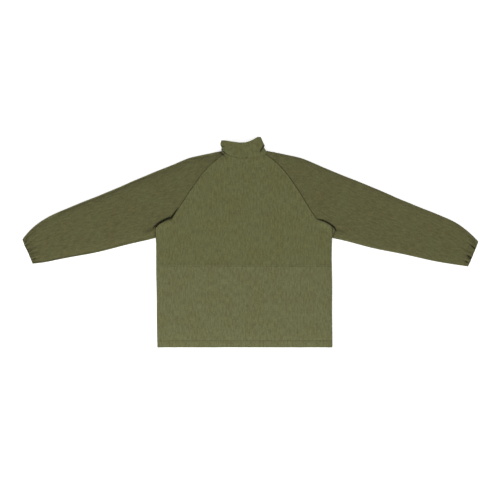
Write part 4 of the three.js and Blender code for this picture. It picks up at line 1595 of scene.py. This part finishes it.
@dataclass
class Collar:
    """The flattened stand collar: a band round the neckline, slit at the front, with lining and throat tab.

    Attributes:
        garment: the jacket that it is sewn to.
        height: not used.
        seam: height of its two side folds above the surface.
        lift: height of its front layer.
        roll: width over which it rolls at its side folds.
        left: places on its left side fold, as across and up from the centre back neck seam.
        right: the same on its right.
        crest: its top edge on the back, as places across and up.
        tucks: the small folds pressed into its back, with painted shade in their valleys.
    """

    garment: Garment
    height: float = 56.0
    seam: float = 14.0
    lift: float = 4.3
    roll: float = 19.0
    left: tuple = ((-86.5, 16), (-86.5, 27), (-84.5, 34), (-85, 40), (-89, 48), (-89.5, 54), (-86, 66.5))
    right: tuple = ((81.0, 20.0), (77.5, 29.0), (73.5, 35.0), (71.0, 41.0), (71.0, 50.0), (58.5, 78.5))
    crest: tuple = ((-86, 66), (-70, 65), (-41, 61), (-14, 57.5), (8, 58), (26, 63), (44, 71), (58.5, 78))
    tucks: tuple[Crease, ...] = (
        Crease(
            ((-88.0, 728.0), (-80.0, 719.0), (-73.0, 710.0), (-65.0, 702.0)), 7.5, 2.0, 8.0, 2.0, (0.08, 0.35)
        ),
        Crease(((-88.0, 737.0), (-79.0, 735.0), (-68.0, 731.0)), 3.5, 1.5, 3.5, 1.0, (0.12, 0.7)),
        Crease(
            ((72.0, 741.0), (66.0, 733.0), (61.0, 723.0), (55.0, 709.0)), 6.0, 2.0, 8.0, 2.0, (0.10, 0.35)
        ),
        Crease(((-44.0, 695.0), (-37.0, 691.0), (-30.0, 692.0)), 5.0, 0.8, 1.6, 0.3, (0.3, 0.4), 0.45),
        Crease(((-2.0, 694.0), (6.0, 691.0), (14.0, 693.0)), 5.0, 0.8, 1.6, 0.3, (0.3, 0.4), 0.45),
        Crease(((-10.0, 704.0), (-15.0, 714.0), (-9.0, 724.0)), 7.0, 0.9, 0.8, 0.3, (0.4, 0.5), 0.15),
    )

    def _reach(self, places: tuple, y: Array) -> Array:
        """The side fold's place across at heights y, smoothed."""
        ys = np.linspace(-60.0, 100.0, 161)
        x = np.interp(ys, [p[1] for p in places], [p[0] for p in places])
        kernel = np.hanning(7)[1:-1] / np.hanning(7)[1:-1].sum()
        smooth = np.convolve(np.pad(x, 2, mode="edge"), kernel, mode="valid")
        return np.interp(y, ys, smooth)

    def net(self, rise: Array, around: Array, top_gap: float = 0.0) -> tuple[Array, Array]:
        """The band's outer face.

        Args:
            rise: shares from the neck seam to the top edge.
            around: places round the band: 0 to 1 over the front's right half, then 1 to 3 over the back
                from right to left, then 3 to 4 over the front's left half.
            top_gap: how far below the top edge the net ends.

        Returns:
            (len(rise), len(around), 3) points in the shared frame, and the darkening: painted shade in the
            tucks and dark marks along the neck seam.
        """
        lay = self.garment.lay
        back = (around >= 1.0) & (around <= 3.0)
        across = np.where(around < 1.0, around, np.where(around > 3.0, around - 4.0, 2.0 - around))
        across = np.where(back, np.sin(across * np.pi / 2) * 0.6 + across * 0.4, across)
        share = (across + 1.0) / 2.0
        line_back = lay.neckline(lay.back_neck, 120)
        line_front = lay.neckline(lay.front_neck, 120)
        crest = np.array(self.crest, float)
        points = np.zeros((len(rise), len(around), 3))
        x = across * lay.neck_x
        for _ in range(6):
            low = np.where(back, np.interp(x, *line_back.T), np.interp(x, *line_front.T)) - lay.back_neck
            sag = np.where(back, 0.0, 30.0 * np.maximum(0.0, 1.0 - np.square(x / lay.neck_x)))
            high = np.interp(x, crest[:, 0], crest[:, 1]) - sag - top_gap
            y = low[None] + rise[:, None] * (high - low)[None]
            left, right = self._reach(self.left, y), self._reach(self.right, y)
            place = left + share[None] * (right - left)
            x = place.mean(0)
        points[..., 0] = place
        points[..., 1] = y + lay.back_neck + lay.hem_y
        gap = np.minimum(place - left, right - place)
        q = np.sqrt(1.0 - np.square(1.0 - np.clip(gap / self.roll, 0.0, 1.0)))
        top = self.seam + (lay.loft - self.seam) * q
        low_z = self.seam - (self.seam - self.lift) * q
        points[..., 2] = np.where(back[None], top, low_z)
        near = self._wrinkle(points, back, rise)
        return points, near

    def _wrinkle(self, points: Array, back: Array, rise: Array) -> Array:
        """Presses the tucks and the neck seam's ripples into the back of the band, and returns the marks:
        painted shade in the tucks' valleys and dark dots along the neck seam.

        Args:
            points: the band, which is changed.
            back: 1 on the back half.
            rise: 0 at the neck seam, 1 at the top.

        Returns:
            The marks, painted shade and seam dots, 0 to 1.
        """
        flat = points[..., :2].reshape(-1, 2) - [0.0, self.garment.lay.hem_y]
        near = np.zeros(len(flat))
        move = np.zeros((len(flat), 3))
        # Each tuck's valley gives painted shade.
        for crease in self.tucks:
            shift, valley = crease.shift(flat)
            move += shift
            near = np.maximum(near, valley)
        shape = points.shape[:2]
        weight = (back[None] * np.ones(shape)).reshape(-1)
        middle = np.sin(np.pi * np.clip(rise, 0, 1))[:, None].repeat(shape[1], 1).ravel()
        soft = 0.9 * Ripple(41, 24.0).at(flat) * middle
        move[:, 2] += soft
        points += (move * weight[:, None]).reshape(*shape, 3)
        points[..., 2] = np.minimum(points[..., 2], 30.0)
        dots = 0.5 + 0.5 * np.sin(flat[:, 0] * 0.33 + 2.2 * np.sin(flat[:, 0] * 0.09))
        base = bell(rise[:, None] / 0.04).repeat(shape[1], 1).ravel()
        crown = bell((rise[:, None] - 0.93) / 0.012).repeat(shape[1], 1).ravel()
        points[..., 2] -= (0.9 * base * weight).reshape(shape) + (0.35 * crown * weight).reshape(shape)
        near = np.maximum(near, base * (0.12 + 0.4 * dots**4))
        return (near * weight).reshape(shape)

    def build(self) -> None:
        """Builds the band, its lining and the throat tab with its two patches."""
        garment = self.garment
        fronts = np.linspace(0.006, 1.0, 40)[:-1], np.linspace(3.0, 3.994, 40)[1:]
        around = np.concatenate([fronts[0], np.linspace(1.0, 3.0, 150), fronts[1]])
        rise = graded(0.0, 1.0, 0.03, 0.008, 0.15)
        net, near = self.net(rise, around)
        around_mm = arc(net[len(rise) // 2])
        height = arc(net[:, net.shape[1] // 2])
        grain = np.stack(np.broadcast_arrays(around_mm[None], height[:, None]), axis=2)
        outer = Sheet.build("cloth_collar_outer", net, 1.1, grain, near, None, False)
        garment.nets["collar_outer"] = net
        garment.keep(outer, "collar_outer", YOKE_PAINTED_SHADE, "shell_cloth", grain)
        inner, _ = self.net(np.linspace(0.01, 1.0, 26), around, 1.2)
        inner = inset(inner, 1.45, None)
        lining = Sheet.build("cloth_collar_lining", inner, 0.8, grain_net(inner), None, None, False)
        garment.keep(lining, "collar_lining", FACING, "facing_cloth", grain_net(inner))
        self._tab()

    def _tab(self) -> None:
        """Builds the throat tab, which crosses the slit, and the patches that fasten it."""
        garment = self.garment
        low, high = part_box("throat_tab")
        x = graded(low.x / MM, high.x / MM, 2.6, 0.9, 10.0)
        half = (high.y - low.y) / MM / 2.0
        middle = (high.y + low.y) / MM / 2.0
        wide = half * np.sqrt(1.0 - np.square(np.clip((x - x[-1] + 9.0) / 9.4, 0.0, 1.0)))
        v = np.linspace(-1.0, 1.0, 21)
        y = middle + wide[:, None] * v[None]
        z = 0.15 + 2.6 * (1.0 - ease((x + 20.0) / 20.0))
        z = np.broadcast_to(z[:, None], y.shape) + 0.3 * bell((np.abs(v) - 0.8) / 0.08)[None]
        net = np.stack([np.broadcast_to(x[:, None], y.shape), y, z], axis=2)
        piece = Sheet.build("cloth_throat_tab", net, 1.1, net[..., :2] + [0.0, 700.0], None, (0, 0, -1))
        garment.nets["throat_tab"] = net
        garment.keep(piece, "throat_tab", SHELL, "shell_cloth", net)
        for node in ("throat_loop_patch", "throat_hook_patch"):
            low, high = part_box(node)
            x = np.linspace(low.x / MM, high.x / MM, 43)
            y = np.linspace(low.y / MM, high.y / MM, 31)
            plan = np.stack(np.meshgrid(x, y, indexing="ij"), axis=2)
            flat = plan.reshape(-1, 2)
            fuzz = 0.18 * Ripple(51, 2.2).at(flat) * (1.0 if "loop" in node else 0.6)
            ends = np.minimum(flat[:, 0] - x[0], x[-1] - flat[:, 0])
            rim = np.minimum(ends, np.minimum(flat[:, 1] - y[0], y[-1] - flat[:, 1]))
            up = node == "throat_hook_patch"
            face = (high.z if up else low.z) / MM
            z = face + (fuzz - 0.3 * bell(rim / 1.0)) * (1.0 if up else -1.0)
            net = np.concatenate([flat, z[:, None]], axis=1).reshape(len(x), len(y), 3)
            patch = Sheet.build(f"cloth_{node}", net, 0.7, plan, None, (0, 0, 1 if up else -1))
            garment.keep(patch, node, PILE, "hook_and_loop", plan)


def grain_net(net: Array) -> Array:
    """Pattern coordinates of a net from its own lengths, in millimetres."""
    round_it = arc(net[net.shape[0] // 2])
    up_it = arc(net[:, net.shape[1] // 2])
    return np.stack(np.broadcast_arrays(round_it[None], up_it[:, None]), axis=2)


@dataclass
class Fastening:
    """The open-ended zip, its tapes and wind flap, and the hang loop.

    Attributes:
        garment: the jacket that it closes.
        pitch: from tooth to tooth of one row.
    """

    garment: Garment
    pitch: float = 2.9

    def build_cloth(self) -> None:
        """Builds the tapes, the wind flap and the hang loop."""
        garment = self.garment
        for side in Side:
            node = f"{side.word}_zip_tape"
            low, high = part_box(node)
            x = np.linspace(low.x / MM, high.x / MM, 10)
            y = np.linspace(low.y / MM, high.y / MM, 180)
            plan = np.stack(np.meshgrid(x, y, indexing="ij"), axis=2)
            across, up = plan[..., 0] - x[0], plan[..., 1]
            z = low.z / MM + 0.05 + 0.12 * np.cos(across * 1.9) - 0.1 * np.cos(up * 0.9)
            net = np.concatenate([plan, (z + 0.15)[..., None]], axis=2)
            piece = Sheet.build(f"cloth_{node}", net, 0.5, plan, None, (0, 0, -1))
            garment.keep(piece, node, TAPE, "tape", plan)
        low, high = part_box("zip_wind_flap")
        x = np.linspace(low.x / MM, high.x / MM, 28)
        y = np.linspace(low.y / MM, high.y / MM, 180)
        plan = np.stack(np.meshgrid(x, y, indexing="ij"), axis=2)
        z = low.z / MM + 0.1 + 1.5 * ease((plan[..., 0] + 12.0) / 4.0) + 0.12 * np.sin(plan[..., 1] * 0.05)
        net = np.concatenate([plan, z[..., None]], axis=2)
        piece = Sheet.build("cloth_zip_wind_flap", net, 0.7, plan, None, (0, 0, -1))
        garment.keep(piece, "zip_wind_flap", FACING, "facing_cloth", plan)
        low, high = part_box("hang_loop")
        x = np.linspace(low.x / MM, high.x / MM, 61)
        y = np.linspace(low.y / MM, high.y / MM, 9)
        plan = np.stack(np.meshgrid(x, y, indexing="ij"), axis=2)
        sag = ease((20.0 - np.abs(plan[..., 0])) / 8.0)
        z = low.z / MM + 3.0 * (1.0 - sag) + 0.15 * np.cos((plan[..., 1] - y[0]) * 2.2)
        net = np.concatenate([plan, z[..., None]], axis=2)
        piece = Sheet.build("cloth_hang_loop", net, 0.7, plan, None, (0, 0, -1))
        garment.keep(piece, "hang_loop", TAPE, "tape", plan)

    def build_teeth(self) -> None:
        """Builds the two rows of moulded teeth and gives the metal parts their finish."""
        for side in Side:
            node = f"{side.word}_zip_chain"
            low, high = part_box(node)
            shift = 0.0 if side is Side.RIGHT else 0.5
            start = low.y / MM + self.pitch * (0.5 + shift)
            y = np.arange(start, high.y / MM - self.pitch * 0.4, self.pitch)
            z = (low.z + high.z) / MM / 2.0
            line = np.stack([np.full(len(y), 2.3 * side.value), y, np.full(len(y), z)], axis=1)
            row = Repeater.tooth_row(f"{node}_teeth", [line], self.pitch, side)
            dress(row, TOOTH)
            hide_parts(node)
            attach(row, "torso")
            LOG.info("%s: %d faces", node, len(row.data.polygons))
        nodes = ("zip_insert_pin", "right_zip_top_stop", "left_zip_top_stop")
        nodes += ("zip_retaining_box", "zip_slider", "zip_pull")
        for node in nodes:
            dress(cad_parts[node], METAL)


class Repeater:
    """Geometry node trees that set a small shape along lines."""

    @staticmethod
    def _curve(name: str, lines: Sequence[Array]) -> bpy.types.Object:
        """A curve object with one straight-stepped spline for each line, in millimetres.

        Args:
            name: the object's name.
            lines: places, in millimetres.

        Returns:
            The curve object.
        """
        data = bpy.data.curves.new(name, "CURVE")
        data.dimensions = "3D"
        for line in lines:
            spline = data.splines.new("POLY")
            spline.points.add(len(line) - 1)
            flat = np.concatenate([line * MM, np.ones((len(line), 1))], axis=1)
            spline.points.foreach_set("co", flat.ravel())
        made = bpy.data.objects.new(name, data)
        bpy.context.scene.collection.objects.link(made)
        return made

    @staticmethod
    def _finish(
        source: bpy.types.Object, tree: bpy.types.NodeTree, values: dict[str, object]
    ) -> bpy.types.Object:
        """Runs a tree on an object and returns the plain mesh that comes out.

        Args:
            source: the curve object, which is removed.
            tree: the geometry tree.
            values: its inputs by name.

        Returns:
            The mesh object.
        """
        modifier = source.modifiers.new("repeat", "NODES")
        modifier.node_group = tree
        for item in tree.interface.items_tree:
            if item.item_type == "SOCKET" and item.in_out == "INPUT" and item.name in values:
                modifier[item.identifier] = values[item.name]
        name = source.name
        evaluated = source.evaluated_get(bpy.context.evaluated_depsgraph_get())
        mesh = bpy.data.meshes.new_from_object(evaluated)
        data = source.data
        bpy.data.objects.remove(source)
        bpy.data.curves.remove(data)
        mesh.name = name
        made = bpy.data.objects.new(name, mesh)
        bpy.context.scene.collection.objects.link(made)
        return made

    @staticmethod
    def _tree(name: str, inputs: dict[str, float]) -> tuple[bpy.types.NodeTree, Nodes, bpy.types.Node]:
        """A new tree with a geometry input and named sizes."""
        tree = bpy.data.node_groups.new(name, "GeometryNodeTree")
        tree.interface.new_socket("Geometry", in_out="INPUT", socket_type="NodeSocketGeometry")
        for label, value in inputs.items():
            socket = tree.interface.new_socket(label, in_out="INPUT", socket_type="NodeSocketFloat")
            socket.default_value = value
        tree.interface.new_socket("Finish", in_out="INPUT", socket_type="NodeSocketMaterial")
        tree.interface.new_socket("Geometry", in_out="OUTPUT", socket_type="NodeSocketGeometry")
        nodes = Nodes(tree)
        return tree, nodes, nodes.add("NodeGroupInput")

    @classmethod
    def stitches(
        cls, name: str, lines: Sequence[Array], finish: Grained, pitch: float = 3.1
    ) -> bpy.types.Object:
        """Sewing thread along lines: one small rounded stitch after another.

        Args:
            name: the piece's name.
            lines: the seams' stitch lines, in millimetres.
            finish: the thread.
            pitch: from stitch to stitch.

        Returns:
            The stitches as one mesh.
        """
        sizes = {"Pitch": pitch * MM, "Length": pitch * 0.72 * MM, "Radius": 0.34 * MM}
        tree, n, given = cls._tree(name, sizes)
        curve, pace = given.outputs["Geometry"], given.outputs["Pitch"]
        points = n.add("GeometryNodeCurveToPoints", mode="LENGTH", Curve=curve, Length=pace)
        turn = n.add("FunctionNodeAlignRotationToVector", axis="Z", Vector=points.outputs["Tangent"])
        spread = n.add("FunctionNodeRandomValue", data_type="FLOAT", i2=0.85, i3=1.12)
        spread.inputs["Seed"].default_value = 7
        half = n.add("ShaderNodeMath", operation="MULTIPLY", i0=given.outputs["Length"], i1=0.5).outputs[0]
        long = n.add("ShaderNodeMath", operation="MULTIPLY", i0=half, i1=spread.outputs[1]).outputs[0]
        radius = given.outputs["Radius"]
        size = n.add("ShaderNodeCombineXYZ", X=radius, Y=radius, Z=long).outputs[0]
        ball = n.add("GeometryNodeMeshIcoSphere", Radius=1.0, Subdivisions=1)
        placed = n.add(
            "GeometryNodeInstanceOnPoints",
            Points=points.outputs["Points"],
            Instance=ball.outputs["Mesh"],
            Rotation=turn.outputs["Rotation"],
            Scale=size,
        )
        cls._end(n, placed.outputs[0], given)
        made = cls._finish(cls._curve(name, lines), tree, {"Finish": finish.material()})
        made.data.polygons.foreach_set("use_smooth", np.ones(len(made.data.polygons), bool))
        return made

    @classmethod
    def tooth_row(cls, name: str, lines: Sequence[Array], pitch: float, side: Side) -> bpy.types.Object:
        """Moulded zip teeth along a line, each a block with a rounded head towards the other row.

        Args:
            name: the piece's name.
            lines: the row's lines.
            pitch: not used.
            side: which row.

        Returns:
            The teeth as one mesh.
        """
        sizes = {"Width": 2.0 * MM, "Depth": 1.5 * MM, "Height": 2.1 * MM, "Reach": -1.35 * side.value * MM}
        tree, n, given = cls._tree(name, sizes)
        points = n.add("GeometryNodeCurveToPoints", mode="EVALUATED", Curve=given.outputs["Geometry"])
        wide, deep, tall = (given.outputs[word] for word in ("Width", "Depth", "Height"))
        size = n.add("ShaderNodeCombineXYZ", X=wide, Y=deep, Z=tall)
        block = n.add("GeometryNodeMeshCube", Size=size.outputs[0])
        head = n.add("GeometryNodeMeshCylinder", Vertices=8, Radius=0.78 * MM, Depth=1.7 * MM)
        place = n.add("ShaderNodeCombineXYZ", X=given.outputs["Reach"]).outputs[0]
        moved = n.add("GeometryNodeTransform", Geometry=head.outputs["Mesh"], Translation=place)
        join = n.add("GeometryNodeJoinGeometry")
        tree.links.new(block.outputs["Mesh"], join.inputs[0])
        tree.links.new(moved.outputs[0], join.inputs[0])
        spots = points.outputs["Points"]
        placed = n.add("GeometryNodeInstanceOnPoints", Points=spots, Instance=join.outputs[0])
        cls._end(n, placed.outputs[0], given)
        return cls._finish(cls._curve(name, lines), tree, {"Finish": TOOTH.material()})

    @staticmethod
    def _end(n: Nodes, instances: bpy.types.NodeSocket, given: bpy.types.Node) -> None:
        """Closes a tree: instances made real, with their finish."""
        real = n.add("GeometryNodeRealizeInstances", Geometry=instances)
        dressed = n.add("GeometryNodeSetMaterial", Geometry=real.outputs[0], Material=given.outputs["Finish"])
        out = n.add("NodeGroupOutput")
        n.tree.links.new(dressed.outputs[0], out.inputs[0])


@dataclass
class Sewing:
    """The thread of every seam, one mesh for each body."""

    garment: Garment

    def lines(self) -> dict[str, list[Array]]:
        """The stitch lines of each body, read off the finished surfaces.

        Returns:
            Lines in millimetres, by body.
        """
        nets = self.garment.nets
        lay = self.garment.lay
        side = arc(lay.side_seam(Side.RIGHT, lay.waist, lay.underarm_y))[-1]
        turn = side / (side + arc(lay.raglan(Side.RIGHT))[-1])
        upper = nets["back_upper_panel"]
        _, rows = self.garment.shares("back_upper_panel", self.garment.step)
        first = int(np.searchsorted(rows, turn)) + 2
        torso = [row_in(upper, edge, 5.5)[first:-3] for edge in ("left", "right")]
        torso.append(row_in(upper, "low", 2.6)[3:-3])
        torso.append(row_in(nets["back_lower_panel"], "low", HEM)[2:-2])
        bodies = {"torso": torso, "collar": [row_in(nets["collar_outer"], "high", 4.5)[4:-4]]}
        bodies["collar"].append(row_in(nets["collar_outer"], "low", 3.0)[4:-4])
        for s in Side:
            panel = nets[f"{s.word}_front_panel"]
            torso += [row_in(panel, "low", HEM)[4:-2], row_in(panel, "left", 6.0)[4:-2]]
            pocket = nets[f"{s.word}_pocket"]
            torso += [row_in(pocket, edge, 3.0)[2:-2] for edge in ("left", "right", "low")]
            torso.append(row_in(pocket, "high", POCKET_HEM)[2:-2])
            ends = [nets[f"{s.word}_sleeve_{face}"] for face in ("back", "front")]
            cuffs = [row_in(net, "right", CUFF_SEAM)[4:-4] for net in ends]
            bodies[f"{s.word}_sleeve"] = cuffs
        return bodies

    def build(self) -> None:
        """Sews each body's seams."""
        for body, lines in self.lines().items():
            made = Repeater.stitches(f"stitches_{body}", lines, THREAD)
            if body == "collar":
                bind_collar(made)
            else:
                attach(made, body)
            LOG.info("stitches on %s: %d faces", body, len(made.data.polygons))


def bind_sleeve(piece: bpy.types.Object) -> None:
    """Bakes the sheet's placement into its mesh.

    Args:
        piece: the sheet.
    """
    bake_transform(piece)


def bind_collar(piece: bpy.types.Object) -> None:
    """Bakes the collar piece's placement into its mesh."""
    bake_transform(piece)


class Studio:
    """A pale floor, soft light and the camera above the jacket."""

    def build(self) -> None:
        """Adds the floor, the lights, the world and the camera."""
        scene = bpy.context.scene
        mesh = bpy.data.meshes.new("floor")
        corners = [(x, y, -0.0006) for x, y in ((-9, -9), (9, -9), (9, 9), (-9, 9))]
        mesh.from_pydata(corners, [], [(0, 1, 2, 3)])
        floor = bpy.data.objects.new("floor", mesh)
        scene.collection.objects.link(floor)
        pale = bpy.data.materials.new("pale_floor")
        pale.use_nodes = True
        shader = pale.node_tree.nodes["Principled BSDF"]
        shader.inputs["Emission Color"].default_value = (1.0, 1.0, 1.0, 1.0)
        shader.inputs["Emission Strength"].default_value = 0.45
        shader.inputs["Base Color"].default_value = (0.93, 0.93, 0.93, 1.0)
        shader.inputs["Roughness"].default_value = 0.9
        shader.inputs["Specular IOR Level"].default_value = 0.1
        mesh.materials.append(pale)
        world = bpy.data.worlds.new("studio")
        world.use_nodes = True
        world.node_tree.nodes["Background"].inputs[0].default_value = (1.0, 1.0, 1.0, 1.0)
        world.node_tree.nodes["Background"].inputs[1].default_value = 0.62
        scene.world = world
        self.lamp("key", (-0.7, -2.1, 2.2), 1.6, 62.0)
        self.lamp("fill", (1.6, 1.2, 2.6), 2.2, 20.0)
        camera = bpy.data.cameras.new("camera")
        camera.lens = 100.0
        camera.sensor_width = 36.0
        eye = bpy.data.objects.new("camera", camera)
        scene.collection.objects.link(eye)
        width = 1.825
        eye.location = (0.019, -0.027, width * camera.lens / camera.sensor_width + 0.012)
        eye.rotation_euler = (0.0, 0.0, 0.0)
        scene.camera = eye
        scene.view_settings.view_transform = "Standard"
        scene.view_settings.look = "None"

    def lamp(self, name: str, place: tuple[float, float, float], size: float, power: float) -> None:
        """Adds one soft square light aimed at the jacket."""
        data = bpy.data.lights.new(name, "AREA")
        data.shape = "SQUARE"
        data.size = size
        data.energy = power
        lamp = bpy.data.objects.new(name, data)
        lamp.location = place
        lamp.rotation_euler = Vector(place).to_track_quat("Z", "Y").to_euler()
        bpy.context.scene.collection.objects.link(lamp)


UNDERARM_FOLDS = (
    Crease(
        ((336.0, 420.0), (324.0, 444.0), (304.0, 454.0), (258.0, 471.0)),
        9.0, 8.0, 10.0, 6.0, (0.12, 0.3), 0.9
    ),
    Crease(
        ((-258.0, 473.0), (-288.0, 462.0), (-316.0, 452.0), (-340.0, 426.0)),
        11.0, 9.0, 11.0, 7.0, (0.25, 0.22)
    ),
    Crease(((-328.0, 440.0), (-352.0, 430.0), (-372.0, 410.0)), 18.0, 3.0, 4.0, 1.0, (0.3, 0.6), 0.35),
    Crease(((330.0, 436.0), (326.0, 416.0), (322.0, 398.0)), 7.0, 2.0, 3.5, 1.0, (0.3, 0.2), 0.5),
    Crease(((322.0, 440.0), (352.0, 424.0), (384.0, 420.0)), 16.0, 3.0, 3.5, 1.0, (0.3, 0.6), 0.25),
)
# Where the sleeve's cloth folds under the torso's, and the shallow folds beside it; each has painted shade in
# its valley.
"""Where the sleeve's cloth folds under the torso's, and the shallow folds beside it."""
NECK_TUCKS = (
    Crease(
        ((-94.0, 719.0), (-86.0, 712.0), (-78.0, 704.0), (-68.0, 697.0)), 7.0, 1.5, 5.0, 1.0, (0.1, 0.4), 0.9
    ),
    Crease(((80.0, 722.0), (90.0, 716.0), (104.0, 715.0)), 6.0, 1.0, 3.0, 0.5, (0.3, 0.4), 0.6),
)
# The tucks in the shoulders beside the collar, with painted shade in their valleys.
"""The tucks in the shoulders beside the collar."""


def main() -> None:
    logging.basicConfig(level=logging.INFO, format="%(name)s: %(message)s")
    Studio().build()
    lay = Lay.from_frame()
    garment = Garment(lay)
    garment.cut()
    garment.creases = UNDERARM_FOLDS + NECK_TUCKS
    garment.drape = Drape(lay)
    garment.drape.run(garment.borders, garment.coarse())
    garment.build_back()
    garment.build_front()
    garment.build_facings()
    garment.build_cuffs()
    garment.build_pockets()
    Collar(garment).build()
    zip_parts = Fastening(garment)
    zip_parts.build_cloth()
    zip_parts.build_teeth()
    on_collar = ("collar_outer", "collar_lining", "throat_tab", "throat_loop_patch", "throat_hook_patch")
    for node, piece in garment.made.items():
        side = Side.RIGHT if node.startswith("right") else Side.LEFT
        if "_sleeve_" in node:
            bind_sleeve(piece)
        elif "_cuff_" in node:
            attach(piece, f"{side.word}_sleeve")
        elif node in on_collar:
            bind_collar(piece)
        else:
            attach(piece, "torso")
    Sewing(garment).build()


if __name__ == "__main__":
    main()
